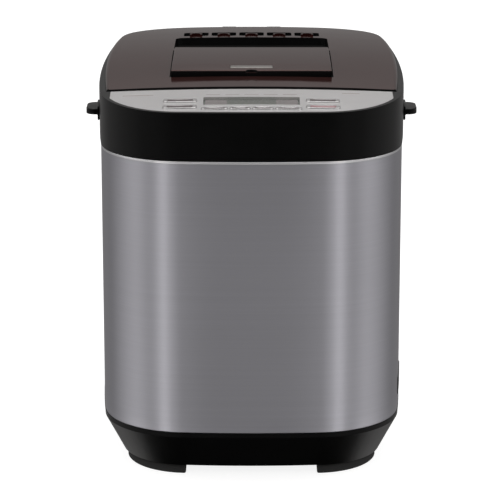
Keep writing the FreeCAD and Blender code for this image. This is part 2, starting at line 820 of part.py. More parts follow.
def crown_cutter(drop):
    """Everything above the lid's crown: an arc across the lid, swept about an axis far below it."""
    body = new_body("crown_cutter")
    profile = body.newObject("Sketcher::SketchObject", "crown_profile")
    profile.AttachmentSupport = (plane_of(body, "XZ_Plane"), [""])
    profile.MapMode = "FlatFace"
    bind(profile,
         AttachmentOffset__Base__y=f"lid_peak - {LID_BOW}",
         AttachmentOffset__Base__z="body_depth / 2 - lid_peak_setback")
    half = number("body_width / 2 + 10")
    crown = number(f"{LID_CROWN} - ({drop})")
    tilt = math.asin(half / crown)
    middle = number(f"{LID_BOW} - {LID_CROWN}")
    edge = middle + crown * math.cos(tilt)
    top = number(f"{LID_BOW} + 30")
    profile.addGeometry(arc(0, middle, crown, math.pi / 2 - tilt, math.pi / 2 + tilt), False)
    corners = (Vector(-half, edge, 0), Vector(-half, top, 0), Vector(half, top, 0),
               Vector(half, edge, 0))
    for n in range(3):
        profile.addGeometry(Part.LineSegment(corners[n], corners[n + 1]), False)
    for n in range(4):
        profile.addConstraint(Sketcher.Constraint("Coincident", n, 2, (n + 1) % 4, 1))
    pin_point(profile, 0, 3, "0", f"{LID_BOW} - {LID_CROWN}")
    pin_radius(profile, 0, f"{LID_CROWN} - ({drop})")
    pin_point(profile, 2, 1, "-(body_width / 2 + 10)", f"{LID_BOW} + 30")
    pin_point(profile, 2, 2, "body_width / 2 + 10", f"{LID_BOW} + 30")
    for n in (1, 3):
        profile.addConstraint(Sketcher.Constraint("Vertical", n))
    sweep = body.newObject("PartDesign::Revolution", "crown_sweep")
    sweep.Profile = profile
    sweep.ReferenceAxis = (profile, ["H_Axis"])
    sweep.Midplane = True
    sweep.Angle = 24
    doc.recompute()
    return body


def dome_form(inset, drop):
    """The lid's plan as a block, crowned both ways on top."""
    return cut(outline_prism(LID_BOTTOM, "lid_peak + 4", inset), crown_cutter(drop))


def trough_tub():
    """The walls and floor of the trough behind the door, as a block."""
    return soft_box("trough_width + 2 * trough_wall", "trough_length + 2 * trough_wall",
                    "trough_round + trough_wall", "trough_floor - trough_wall", "lid_peak + 5",
                    TROUGH_Y)


def make_lid():
    body_zone = box(("body_width", "body_depth", "40"),
                    ("-body_width / 2", LID_FRONT, "rim_height - 5"))
    hollow_zone = box(("body_width", "body_depth", "40"),
                      ("-body_width / 2", f"{LID_FRONT} + lid_wall", "rim_height - 5"))
    dome = new_body("dome")
    dome.BaseFeature = common(dome_form("lid_inset", "0"), body_zone)
    doc.recompute()
    bottom = number(LID_BOTTOM) + 0.01
    rounded(dome, dome.Group[0], "lid_round", lambda e: min(v.Point.z for v in e.Vertexes) > bottom)
    hollow = dome_form("lid_inset + lid_wall", "lid_wall")
    shell = cut(dome, common(hollow, hollow_zone))
    tub = common(dome, trough_tub())
    trough = soft_box("trough_width", "trough_length", "trough_round", "trough_floor",
                      "lid_peak + 6", TROUGH_Y)
    frame = common(dome, soft_box(
        "door_width + 2 * door_gap + 4", "door_length + 2 * door_gap + 4", "6",
        "ledge_height", "lid_peak + 5", f"({DOOR_FRONT} + {DOOR_REAR}) / 2"))
    door_hole = soft_box("door_width + 2 * door_gap", "door_length + 2 * door_gap", "1.2",
                         "ledge_height - 5", "lid_peak + 6", f"({DOOR_FRONT} + {DOOR_REAR}) / 2")
    lugs = [
        common(dome, box(("4", "9", "12"),
                         (f"{start}", f"{DOOR_AXIS_Y} - 4.5", "ledge_height")))
        for start in ("door_width / 2 + door_gap", "-door_width / 2 - door_gap - 4")
    ]
    vents = [
        soft_box("vent_width", "vent_length", "3", "rim_height - 2", "lid_peak + 6",
                 f"{FRONT} + vent_start + vent_length / 2", f"{n} * vent_pitch")
        for n in range(-2, 3)
    ]
    bosses = [common(dome, rod("boss_radius", "20", (x, y, LID_BOTTOM)))
              for x, y in boss_places()]
    pilots = [rod("1.3", "6", (x, y, f"{LID_BOTTOM} - 1")) for x, y in boss_places()]
    ears, rooms = [], []
    for start in ("knuckle_place + knuckle_length + knuckle_gap",
                  "-knuckle_place - 2 * knuckle_length - knuckle_gap"):
        ears.append(rod("knuckle_radius", "knuckle_length", (start, HINGE_Y, HINGE_Z), ALONG_X))
        ears.append(box(("knuckle_length", "10", "2.6"), (start, f"{HINGE_Y} - 10", LID_BOTTOM)))
    for start in ("knuckle_place - knuckle_gap", "-knuckle_place - knuckle_length - knuckle_gap"):
        rooms.append(rod("knuckle_radius + knuckle_gap", "knuckle_length + 2 * knuckle_gap",
                         (start, HINGE_Y, HINGE_Z), ALONG_X))
    pins = [
        rod("hinge_pin + running_fit", "2 * knuckle_length + 3 * knuckle_gap",
            (start, HINGE_Y, HINGE_Z), ALONG_X)
        for start in ("knuckle_place - knuckle_gap",
                      "-knuckle_place - 2 * knuckle_length - 2 * knuckle_gap")
    ]
    door_pins = [
        rod("door_pin", "4.4", (start, DOOR_AXIS_Y, "door_axis_height"), ALONG_X)
        for start in ("door_width / 2 + door_gap - 0.2", "-door_width / 2 - door_gap - 4.2")
    ]
    part("lid_shell", cut(
        fuse(cut(fuse(shell, tub, frame), trough, door_hole, *vents, *rooms), *lugs, *bosses, *ears),
        *pilots, *pins, *door_pins))
    part("hinge_pins", together(*[
        rod("hinge_pin", "2 * knuckle_length + knuckle_gap", (start, HINGE_Y, HINGE_Z), ALONG_X)
        for start in ("knuckle_place", "-knuckle_place - 2 * knuckle_length - knuckle_gap")
    ]))
    baffles = []
    for n in range(-2, 3):
        curved = cut(
            rod("5.5", "3", (f"{n} * vent_pitch", f"{FRONT} + vent_start + 1.5", "lid_peak - 3.6")),
            rod("3.9", "3", (f"{n} * vent_pitch", f"{FRONT} + vent_start + 1.5", "lid_peak - 3.6")))
        baffles.append(common(curved, box(
            ("20", "20", "20"), (f"{n} * vent_pitch - 10", f"{FRONT} + vent_start", "lid_peak - 10"))))
    part("vent_baffles", together(*baffles))


def boss_places():
    """Where the liner is screwed up to the lid, in its flange outside the tray."""
    x = f"{TRAY_WIDTH} / 2 + boss_inset"
    rows = (
        f"{OVEN_Y} - {TRAY_LENGTH} / 2 + boss_front_room",
        f"{OVEN_Y} - 2",
        f"{OVEN_Y} + {TRAY_LENGTH} / 2 - boss_rear_room",
    )
    return [(f"{side} * ({x})", y) for side in (-1, 1) for y in rows]


def make_liner():
    top = LID_BOTTOM
    tray_out = soft_box(TRAY_WIDTH, TRAY_LENGTH, "oven_round - 4", "liner_bottom", top, OVEN_Y)
    tray_in = soft_box(f"{TRAY_WIDTH} - 2 * liner_thick", f"{TRAY_LENGTH} - 2 * liner_thick",
                       "oven_round - 4 - liner_thick", "liner_bottom + liner_thick",
                       f"{top} + 1", OVEN_Y)
    flange = soft_box(f"{TRAY_WIDTH} + 2 * liner_flange", f"{TRAY_LENGTH} + 2 * liner_flange",
                      FLANGE_CORNER, f"{top} - liner_thick", top, OVEN_Y)
    well = soft_box("box_width + 0.6", "box_length + 0.6", "3", "liner_bottom - 1",
                    "liner_bottom + 4", f"{BOX_FRONT} + box_length / 2")
    steam = [
        box(("14", "2.5", "6"),
            (f"{n} * vent_pitch - 7", f"{FRONT} + vent_start + {4 + 5 * row}", "liner_bottom - 2"))
        for n in range(-2, 3) for row in range(3)
    ]
    latch_slot = box(("latch_travel + 6", "8", "6"),
                     ("box_width / 2 - 1.6", f"{LATCH_Y} - 4", "liner_bottom - 2"))
    holes = [rod("1.6", "6", (x, y, f"{top} - 4")) for x, y in boss_places()]
    part("lid_liner", cut(fuse(tray_out, flange), tray_in, well, latch_slot, *steam, *holes))
    width = f"{OVEN_WIDTH} + 2 * seal_offset"
    length = f"{OVEN_LENGTH} + 2 * seal_offset"
    part("lid_seal", cut(
        soft_box(f"{width} + 2 * seal_width", f"{length} + 2 * seal_width",
                 f"{FLANGE_CORNER} - 2",
                 "deck_height + seal_gap", f"{top} - liner_thick", OVEN_Y),
        soft_box(width, length, f"{FLANGE_CORNER} - 2 - seal_width",
                 "deck_height - 1", f"{top} + 1", OVEN_Y)))
    part("liner_screws", together(*[
        fuse(rod("2.5", "1.6", (x, y, f"{top} - liner_thick - 1.6")),
             rod("1.3", "5", (x, y, f"{top} - liner_thick - 0.5")))
        for x, y in boss_places()
    ]))


def make_dispenser():
    middle = f"({BOX_FRONT} + box_length / 2)"
    walls = soft_box("box_width", "box_length", "3", "box_bottom", "ledge_height", middle)
    hollow = soft_box("box_width - 2 * box_wall", "box_length - 2 * box_wall", "2",
                      "box_bottom - 1", "ledge_height + 1", middle)
    ledge = cut(soft_box("door_width + 2 * door_gap + 3", "door_length + 2 * door_gap + 3", "5",
                         "ledge_height - ledge_thick", "ledge_height",
                         f"({DOOR_FRONT} + {DOOR_REAR}) / 2"), trough_tub())
    ears = []
    for start in ("box_width / 2 - 12", "-box_width / 2 + 6"):
        ears.append(cut(
            fuse(box(("6", "flap_knuckle * 2", "6"),
                     (start, f"{FLAP_Y} - flap_knuckle", f"{FLAP_Z}")),
                 rod("flap_knuckle", "6", (start, FLAP_Y, FLAP_Z), ALONG_X),
                 box(("6", "flap_knuckle * 2 + 2", "4"),
                     (start, f"{FLAP_Y} - flap_knuckle - 2", f"{FLAP_Z} + 3"))),
            box(("8", "8", "8"), (f"{start} - 1", f"{FLAP_Y} - 8 - flap_knuckle - flap_gap / 2 + 0.15",
                                  f"{FLAP_Z} - 6")),
        ))
    pin_hole = rod("flap_pin", "box_width", ("-box_width / 2", FLAP_Y, FLAP_Z), ALONG_X)
    part("dispenser_box", cut(fuse(cut(fuse(walls, ledge), hollow), *ears), pin_hole))
    plate = box(("box_width", "box_length + 1.5", "flap_thick"),
                ("-box_width / 2", f"{BOX_FRONT} + 1", f"{FLAP_Z} - flap_thick / 2"))
    knuckle = rod("flap_knuckle", "box_width - 26", ("-box_width / 2 + 13", FLAP_Y, FLAP_Z), ALONG_X)
    tongue = box(("box_width - 26", "4", "flap_thick"),
                 ("-box_width / 2 + 13", f"{FLAP_Y} - 4", f"{FLAP_Z} - flap_thick / 2"))
    ear_room = [
        box(("7", "6", "8"), (f"{start} - 0.5", f"{FLAP_Y} - flap_knuckle - 1", f"{FLAP_Z} - 4"))
        for start in ("box_width / 2 - 12", "-box_width / 2 + 6")
    ]
    part("dispenser_flap", cut(
        fuse(plate, knuckle, tongue), *ear_room,
        rod("flap_pin + running_fit", "box_width", ("-box_width / 2", FLAP_Y, FLAP_Z), ALONG_X)))
    finger_x = "box_width / 2 + flap_gap"
    bore = "2"
    spot = ("box_width / 2 + 9", f"{LATCH_Y} - solenoid_width / 2", "liner_bottom + liner_thick")
    axis_z = "liner_bottom + liner_thick + solenoid_height / 2"
    part("dispenser_solenoid", cut(
        box(("solenoid_length", "solenoid_width", "solenoid_height"), spot),
        rod(f"{bore} + 0.3", "solenoid_length", ("box_width / 2 + 8", LATCH_Y, axis_z), ALONG_X)))
    part("solenoid_plunger", fuse(
        box(("2.4", "5", f"{axis_z} + 3 - ({FLAP_Z} - 1.5)"),
            (finger_x, f"{LATCH_Y} - 2.5", f"{FLAP_Z} - 1.5")),
        rod(bore, "24", (f"{finger_x} + 1", LATCH_Y, axis_z), ALONG_X)))


def make_door():
    body = new_body("door_form")
    side = sketch_on(body, "0", "YZ_Plane")
    polygon(side, (
        (DOOR_FRONT, "door_bottom"),
        (DOOR_FRONT, "door_top - door_nose"),
        (f"{DOOR_FRONT} + 24", "door_top"),
        (DOOR_REAR, "door_top"),
        (DOOR_REAR, "door_bottom"),
    ))
    form = pad(body, side, "door_width", midplane=True)
    rear = number(DOOR_REAR)
    front = number(DOOR_FRONT)
    first = rounded(body, form, "2.5",
                    lambda e: all(abs(v.Point.y - rear) < 1e-3 for v in e.Vertexes)
                    and e.BoundBox.ZLength < 1e-3)
    top = number("door_top - door_nose") - 1e-3
    rounded(body, first, "1.2", lambda e: all(v.Point.z > top for v in e.Vertexes)
                     and not (e.BoundBox.XLength > 1 and min(v.Point.y for v in e.Vertexes) > front + 1))
    hollow = box(("door_width - 2 * door_wall", "door_length - door_wall - 9",
                  "door_top - door_bottom - door_wall - door_nose + 1"),
                 ("-door_width / 2 + door_wall", f"{DOOR_FRONT} + door_wall", "door_bottom - 1"))
    bores = [
        rod("door_pin + running_fit", "8.2", (start, DOOR_AXIS_Y, "door_axis_height"), ALONG_X)
        for start in ("door_width / 2 - 8", "-door_width / 2 - 0.2")
    ]
    badge_room = box(("34.4", "9.4", "4"), ("-17.2", f"{DOOR_FRONT} + 8", "door_top - 1"))
    notch = rod("6", "3", ("0", f"{DOOR_FRONT} - 3.6", "door_top - door_nose - 2"))
    part("dispenser_door", cut(body, hollow, badge_room, notch, *bores))
    part("door_badge", box(("34", "9", "0.8"), ("-17", f"{DOOR_FRONT} + 8.2", "door_top - 1")))
    part("dispenser_pins", together(
        rod("flap_pin", "box_width - 12", ("-box_width / 2 + 6", FLAP_Y, FLAP_Z), ALONG_X),
        *[rod("door_pin", "11.6", (start, DOOR_AXIS_Y, "door_axis_height"), ALONG_X)
          for start in ("door_width / 2 - 7.6", "-door_width / 2 - 4")]))


# ---------------------------------------------------------------- oven and bread pan

def make_oven():
    outer = soft_box(f"{OVEN_WIDTH} + 2 * sheet_thick", f"{OVEN_LENGTH} + 2 * sheet_thick",
                     "oven_round + sheet_thick", "oven_floor", OVEN_TOP, OVEN_Y)
    inner = soft_box(OVEN_WIDTH, OVEN_LENGTH, "oven_round", "oven_floor + sheet_thick",
                     f"{OVEN_TOP} + 1", OVEN_Y)
    flange = soft_box(f"{OVEN_WIDTH} + 2 * oven_flange", f"{OVEN_LENGTH} + 2 * oven_flange",
                      "oven_round + oven_flange", f"{OVEN_TOP} - sheet_thick", OVEN_TOP, OVEN_Y)
    shaft_hole = rod("11.5", "6", ("0", OVEN_Y, "oven_floor - 2"))
    leads = [rod("4.2", "20", (x, f"{OVEN_Y} - {OVEN_LENGTH} / 2 - 8", "element_height"), ALONG_Y)
             for x in ("-12", "12")]
    probe = rod("3", "20", ("-60", f"{OVEN_Y} - {OVEN_LENGTH} / 2 - 8", "150"), ALONG_Y)
    part("oven_chamber", cut(fuse(outer, flange), inner, shaft_hole, *leads, probe))


def element_path():
    """A rounded rectangle round the pan, open at the front, whose ends turn out to the terminals."""
    w, l = number(ELEMENT_WIDE) / 2, number(ELEMENT_LONG) / 2
    r, y, z = number("element_round"), number(OVEN_Y), number("element_height")
    gap, bend = 12, 8
    out = y - number(OVEN_LENGTH) / 2 - 9
    c = math.sqrt(0.5)

    def at(px, py):
        return Vector(px, py, z)

    def bow(a, b, d):
        return Part.Arc(at(*a), at(*b), at(*d)).toShape()

    def run(a, b):
        return Part.LineSegment(at(*a), at(*b)).toShape()

    front, rear = y - l, y + l
    edges = [run((gap, out), (gap, front - bend))]
    edges.append(bow((gap, front - bend), (gap + bend * (1 - c), front - bend * (1 - c)),
                     (gap + bend, front)))
    edges.append(run((gap + bend, front), (w - r, front)))
    edges.append(bow((w - r, front), (w - r * (1 - c), front + r * (1 - c)), (w, front + r)))
    edges.append(run((w, front + r), (w, rear - r)))
    edges.append(bow((w, rear - r), (w - r * (1 - c), rear - r * (1 - c)), (w - r, rear)))
    edges.append(run((w - r, rear), (-w + r, rear)))
    edges.append(bow((-w + r, rear), (-w + r * (1 - c), rear - r * (1 - c)), (-w, rear - r)))
    edges.append(run((-w, rear - r), (-w, front + r)))
    edges.append(bow((-w, front + r), (-w + r * (1 - c), front + r * (1 - c)), (-w + r, front)))
    edges.append(run((-w + r, front), (-gap - bend, front)))
    edges.append(bow((-gap - bend, front), (-gap - bend * (1 - c), front - bend * (1 - c)),
                     (-gap, front - bend)))
    edges.append(run((-gap, front - bend), (-gap, out)))
    return Part.Wire(edges), Vector(gap, out, z)


def make_heater():
    wire, start = element_path()
    circle = Part.Wire(Part.makeCircle(number("element_radius"), start, Vector(0, 1, 0)))
    tube = doc.addObject("Part::Feature", "element")
    tube.Shape = wire.makePipeShell([circle], True, False)
    part("heating_element", tube)
    wall = f"({OVEN_Y} - {OVEN_LENGTH} / 2 - sheet_thick)"
    terminals = [
        cut(fuse(rod("4.1", "5", (x, f"{wall} - 3", "element_height"), ALONG_Y),
                 rod("7", "3", (x, f"{wall} - 3", "element_height"), ALONG_Y)),
            rod("element_radius + 0.02", "20", (x, f"{wall} - 8", "element_height"), ALONG_Y))
        for x in ("-12", "12")
    ]
    part("heater_terminals", together(*terminals))
    clips = []
    for side in (-1, 1):
        for end in (-1, 1):
            x, y = f"{side} * {ELEMENT_WIDE} / 2", f"{OVEN_Y} + {end} * 60"
            post = box(("3", "8", "element_height - oven_floor - sheet_thick - element_radius"),
                       (f"{x} - 1.5", f"{y} - 4", "oven_floor + sheet_thick"))
            clips.append(post)
    part("heater_clips", together(*clips))
    front_wall = f"({OVEN_Y} - {OVEN_LENGTH} / 2)"
    part("temperature_sensor", fuse(
        rod("2.9", "12", ("-60", f"{front_wall} - 6", "150"), ALONG_Y),
        centred_box(("16", "3", "12"), ("-60", f"{wall} - 1.5", "144"))))
    part("thermal_fuse", fuse(
        centred_box(("22", "2", "10"), ("55", f"{wall} - 1", "150")),
        rod("2.5", "16", ("47", f"{wall} - 4", "155"), ALONG_X)))


def make_pan_mounting():
    floor = "(oven_floor + sheet_thick)"
    plate = rod("socket_radius + 8", "2", ("0", OVEN_Y, floor))
    wall = rod("socket_radius", "socket_height", ("0", OVEN_Y, floor))
    part("pan_socket", cut(
        fuse(plate, wall),
        rod("hub_radius + hub_gap", "socket_height + 1", ("0", OVEN_Y, f"{floor} + 2")),
        rod("11", "30", ("0", OVEN_Y, "oven_floor"))))
    part("bearing_housing", cut(
        fuse(rod("10.6", "oven_floor + 1.8 - (chassis_height - 22)",
                 ("0", OVEN_Y, "chassis_height - 22")),
             rod("20", "4", ("0", OVEN_Y, "chassis_height - 4"))),
        rod("shaft_radius + running_fit", "60", ("0", OVEN_Y, "chassis_height - 24"))))


def make_pan():
    outer = soft_box(PAN_WIDTH, PAN_LENGTH, "pan_round", "pan_floor", "pan_floor + pan_height",
                     OVEN_Y, "0", "-pan_draft")
    inner = soft_box(f"{PAN_WIDTH} - 2 * pan_wall", f"{PAN_LENGTH} - 2 * pan_wall",
                     "pan_round - pan_wall", "pan_floor + pan_wall",
                     "pan_floor + pan_height", OVEN_Y, "0", "-pan_draft")
    rim = soft_box(f"{PAN_WIDTH} + 2 * pan_rim", f"{PAN_LENGTH} + 2 * pan_rim", "pan_round + pan_rim",
                   "pan_floor + pan_height - 2", "pan_floor + pan_height", OVEN_Y)
    mouth = soft_box(f"{PAN_WIDTH} - 2 * pan_wall", f"{PAN_LENGTH} - 2 * pan_wall",
                     "pan_round - pan_wall", "pan_floor + pan_height - 3",
                     "pan_floor + pan_height + 1", OVEN_Y)
    ears = []
    for start in (f"{PAN_WIDTH} / 2 - 1", f"-{PAN_WIDTH} / 2 - 4"):
        ears.append(box(("5", "12", "14"), (start, f"{OVEN_Y} - 6", "bail_height - 6")))
    pivots = [
        rod("1.8", "12", (start, OVEN_Y, "bail_height"), ALONG_X)
        for start in (f"{PAN_WIDTH} / 2 - 3", f"-{PAN_WIDTH} / 2 - 9")
    ]
    part("bread_pan", cut(fuse(outer, rim, *ears), inner, mouth,
                          rod("5", "10", ("0", OVEN_Y, "pan_floor - 4")), *pivots))
    part("pan_hub", cut(
        fuse(rod("hub_radius", "15.6", ("0", OVEN_Y, "pan_floor - 15.6")),
             rod("4.9", "pan_wall", ("0", OVEN_Y, "pan_floor"))),
        rod("17", "8.2", ("0", OVEN_Y, "pan_floor - 16")),
        rod("shaft_radius + running_fit", "30", ("0", OVEN_Y, "pan_floor - 20"))))
    half, reach = number(BAIL_HALF), number(BAIL_REACH)
    y, z, bend = number(OVEN_Y), number("bail_height"), 18
    c = math.sqrt(0.5)

    def at(px, py):
        return Vector(px, y + py, z)

    edges = [
        Part.LineSegment(at(half, -3), at(half, reach - bend)).toShape(),
        Part.Arc(at(half, reach - bend), at(half - bend * (1 - c), reach - bend * (1 - c)),
                 at(half - bend, reach)).toShape(),
        Part.LineSegment(at(half - bend, reach), at(-half + bend, reach)).toShape(),
        Part.Arc(at(-half + bend, reach), at(-half + bend * (1 - c), reach - bend * (1 - c)),
                 at(-half, reach - bend)).toShape(),
        Part.LineSegment(at(-half, reach - bend), at(-half, -3)).toShape(),
    ]
    section = Part.Wire(Part.makeCircle(number("bail_radius"), at(half, -3), Vector(0, 1, 0)))
    bar = doc.addObject("Part::Feature", "bail_bar")
    bar.Shape = Part.Wire(edges).makePipeShell([section], True, False)
    pegs = [
        rod("1.75", f"{BAIL_HALF} - {PAN_WIDTH} / 2 + 1", (start, OVEN_Y, "bail_height"), ALONG_X)
        for start in (f"{PAN_WIDTH} / 2 - 1", f"-{BAIL_HALF}")
    ]
    part("pan_handle", fuse(bar, *pegs))


def make_kneading():
    low = "(oven_floor + sheet_thick + 4)"
    part("paddle_shaft", fuse(
        rod("shaft_radius", f"pan_floor + 26 - {low}", ("0", OVEN_Y, low)),
        rod("7", "5", ("0", OVEN_Y, f"{low} + 3")),
        centred_box(("6", "28", "5"), ("0", OVEN_Y, f"{low} + 3"))))
    blade_z = "(pan_floor + pan_wall + 1)"
    hub = rod("9", "24", ("0", OVEN_Y, blade_z))
    body = new_body("blade")
    sketch = polygon(sketch_on(body, "0", "XZ_Plane"), (
        ("4", blade_z),
        ("blade_length", blade_z),
        ("blade_length - 4", f"{blade_z} + blade_height * 0.7"),
        ("blade_length * 0.55", f"{blade_z} + blade_height"),
        ("4", f"{blade_z} + blade_height * 0.85"),
    ))
    pad(body, sketch, "5", midplane=True)
    place(body, ("0", OVEN_Y, "0"))
    part("kneading_paddle", cut(
        fuse(hub, body),
        rod("shaft_radius + running_fit", f"pan_floor + 26 - {blade_z} + 2",
            ("0", OVEN_Y, f"{blade_z} - 2"))))


# ---------------------------------------------------------------- drive and electrics

def make_chassis():
    plate = soft_box(CHASSIS_WIDTH, CHASSIS_LENGTH, "18", "chassis_height",
                     "chassis_height + chassis_thick", CHASSIS_Y)
    rails = [
        box(("16", f"{CHASSIS_LENGTH} - 40", "2"),
            (start, f"{CHASSIS_Y} - {CHASSIS_LENGTH} / 2 + 20", "chassis_height - 2"))
        for start in (f"{CHASSIS_WIDTH} / 2 - 16", f"-{CHASSIS_WIDTH} / 2")
    ]
    legs = [
        rod("5", f"chassis_height - 2 - {FLOOR_TOP}", (f"{side} * ({CHASSIS_WIDTH} / 2 - 8)", y, FLOOR_TOP))
        for side in (-1, 1) for y in (f"{ROD_FRONT} + 10", f"{ROD_REAR} - 20")
    ]
    studs = [
        rod("4", "oven_floor - chassis_height - chassis_thick",
            (f"{side} * ({CHASSIS_WIDTH} / 2 - 18)", f"{OVEN_Y} + {end} * ({OVEN_LENGTH} / 2 - 21.5)",
             "chassis_height + chassis_thick"))
        for side in (-1, 1) for end in (-1, 1)
    ]
    part("chassis_plate", cut(
        fuse(plate, *rails, *legs, *studs),
        rod("10.7", "10", ("0", OVEN_Y, "chassis_height - 4")),
        rod("20.2", "4.5", ("0", OVEN_Y, "chassis_height - 4.5"))))
    part("tie_rods", together(*[
        rod("rod_radius", f"{OVEN_TOP} - rod_seat", (f"{side} * {ROD_SIDE}", y, "rod_seat"))
        for side in (-1, 1) for y in (ROD_FRONT, ROD_REAR)
    ]))


def make_drive():
    y = OVEN_Y
    part("drive_shaft", rod("shaft_radius", "oven_floor + sheet_thick + 3.2 - (pulley_bottom - 3)",
                            ("0", y, "pulley_bottom - 3")))
    wheel = cut(
        rod("drive_pulley", "pulley_height", ("0", y, "pulley_bottom")),
        cut(rod("drive_pulley - 6", "pulley_height", ("0", y, "pulley_bottom + 3")),
            rod("10", "pulley_height + 4", ("0", y, "pulley_bottom"))),
        rod("shaft_radius", "60", ("0", y, "pulley_bottom - 10")))
    windows = [
        rod("7", "8", (f"cos({60 * n + 30}) * 26", f"{y} + sin({60 * n + 30}) * 26",
                       "pulley_bottom - 2"))
        for n in range(6)
    ]
    part("drive_pulley", cut(wheel, *windows))
    disc = "(oven_floor + sheet_thick + 2.2)"
    part("drive_coupler", cut(
        fuse(rod("15.5", "1.4", ("0", y, disc)),
             centred_box(("6", "8", "7"), ("11", y, disc)),
             centred_box(("6", "8", "7"), ("-11", y, disc))),
        rod("shaft_radius", "1.2", ("0", y, f"{disc} - 0.2"))))
    part("small_pulley", cut(
        fuse(rod("motor_pulley", "pulley_height", ("0", MOTOR_Y, "pulley_bottom")),
             rod("motor_pulley + 2.6", "1", ("0", MOTOR_Y, "pulley_bottom - 1")),
             rod("motor_pulley + 2.6", "1", ("0", MOTOR_Y, "pulley_bottom + pulley_height"))),
        rod("motor_shaft", "40", ("0", MOTOR_Y, "pulley_bottom - 10"))))
    part("motor_rotor", fuse(
        rod("motor_shaft", "chassis_height - 4 - (pulley_bottom - 2)",
            ("0", MOTOR_Y, "pulley_bottom - 2")),
        rod("19", "30", ("0", MOTOR_Y, "motor_bottom + 8"))))
    make_belt()


def belt_loop(big, small, low, high):
    """A solid of two round ends joined by the tangents between them."""
    span = number(f"{OVEN_Y} - {MOTOR_Y}")
    a, b = number(big), number(small)
    lean = math.asin((a - b) / span)
    yb, ys = number(OVEN_Y), number(MOTOR_Y)
    s, c = math.sin(lean), math.cos(lean)
    z = number(low)

    def at(radius, centre, side):
        return Vector(side * radius * c, centre - radius * s, z)

    top, bottom = Vector(0, yb + a, z), Vector(0, ys - b, z)
    edges = [
        Part.Arc(at(a, yb, 1), top, at(a, yb, -1)).toShape(),
        Part.LineSegment(at(a, yb, -1), at(b, ys, -1)).toShape(),
        Part.Arc(at(b, ys, -1), bottom, at(b, ys, 1)).toShape(),
        Part.LineSegment(at(b, ys, 1), at(a, yb, 1)).toShape(),
    ]
    return Part.Face(Part.Wire(edges)).extrude(Vector(0, 0, number(high) - z))


def make_belt():
    low, high = "pulley_bottom + 1", "pulley_bottom + pulley_height - 1"
    outer = belt_loop("drive_pulley + belt_gap + belt_thick", "motor_pulley + belt_gap + belt_thick",
                      low, high)
    inner = belt_loop("drive_pulley + belt_gap", "motor_pulley + belt_gap", low, high)
    belt = doc.addObject("Part::Feature", "belt")
    belt.Shape = outer.cut(inner)
    part("drive_belt", belt)


def make_motor():
    y = MOTOR_Y
    can = ring("motor_radius", "motor_radius - motor_wall", "chassis_height - 4 - motor_bottom",
               ("0", y, "motor_bottom"))
    bottom = ring("motor_radius", "motor_shaft + running_fit", "motor_wall",
                  ("0", y, "motor_bottom"))
    top = ring("motor_radius", "motor_shaft + running_fit", "motor_wall",
               ("0", y, "chassis_height - 4 - motor_wall"))
    lugs = [
        centred_box(("14", "12", "3"), (f"{side} * (motor_radius + 5)", y, "chassis_height - 7"))
        for side in (-1, 1)
    ]
    part("motor_can", fuse(can, bottom, top, *lugs))
    part("motor_stator", ring("motor_radius - motor_wall", "20", "28",
                              ("0", y, "motor_bottom + 9")))
    part("motor_grommets", together(*[
        rod("5", "4", (f"{side} * (motor_radius + 6)", y, "chassis_height - 4"))
        for side in (-1, 1)
    ]))
    part("motor_capacitor", fuse(
        rod("15", "44", ("60", "-66", f"{FLOOR_TOP} + 15.4"), ALONG_Y),
        centred_box(("16", "36", "2"), ("60", "-44", FLOOR_TOP))))
    board = box(("44", "90", "1.6"), ("-88", "-46", f"{FLOOR_TOP} + 8"))
    posts = [rod("3", "8", (x, y2, FLOOR_TOP)) for x in ("-82", "-50") for y2 in ("-40", "38")]
    relay = box(("16", "20", "15"), ("-84", "-30", f"{FLOOR_TOP} + 9.6"))
    transformer = box(("28", "32", "24"), ("-80", "0", f"{FLOOR_TOP} + 9.6"))
    part("power_board", fuse(board, *posts, relay, transformer))


def check_and_export():
    doc.recompute()
    failed = [o.Label for o in doc.Objects if "Invalid" in o.State or "Error" in o.State]
    empty = [o.Label for o in parts if o.Shape.isNull() or not o.Shape.isValid()]
    if failed or empty:
        raise RuntimeError(f"failed: {failed}, empty or not valid: {empty}")
    os.makedirs("parts", exist_ok=True)
    for thing in parts:
        thing.Shape.exportStep(os.path.join("parts", thing.Label + ".step"))
        print(f"{thing.Label}: {len(thing.Shape.Solids)} solids, {thing.Shape.Volume:.0f} mm3")


make_base()
make_feet()
make_wrap()
make_collar()
make_panel()
make_side_pieces()
make_lid()
make_liner()
make_dispenser()
make_door()
make_oven()
make_heater()
make_pan_mounting()
make_pan()
make_kneading()
make_chassis()
make_drive()
make_motor()
check_and_export()
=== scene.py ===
"""Skins, finishes and stage for a bread machine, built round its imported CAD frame."""

import json
import math

import bmesh
import bpy
import numpy as np
from bpy.props import FloatProperty, FloatVectorProperty, PointerProperty
from bpy.types import Operator, Panel, PropertyGroup
from mathutils import Matrix, Vector


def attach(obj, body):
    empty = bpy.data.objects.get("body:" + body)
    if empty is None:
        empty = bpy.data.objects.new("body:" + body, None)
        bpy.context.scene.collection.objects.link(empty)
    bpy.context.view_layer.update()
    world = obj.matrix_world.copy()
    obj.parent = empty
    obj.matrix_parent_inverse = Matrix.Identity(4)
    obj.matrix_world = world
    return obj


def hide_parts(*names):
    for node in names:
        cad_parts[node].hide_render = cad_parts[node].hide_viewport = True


bl_info = {
    "name": "Bread Machine Looks",
    "version": (1, 0, 0),
    "blender": (4, 5, 0),
    "location": "3D View > Sidebar > Bread Machine",
    "description": "Skins, finishes and stage for the packed bread machine",
    "category": "Object",
}

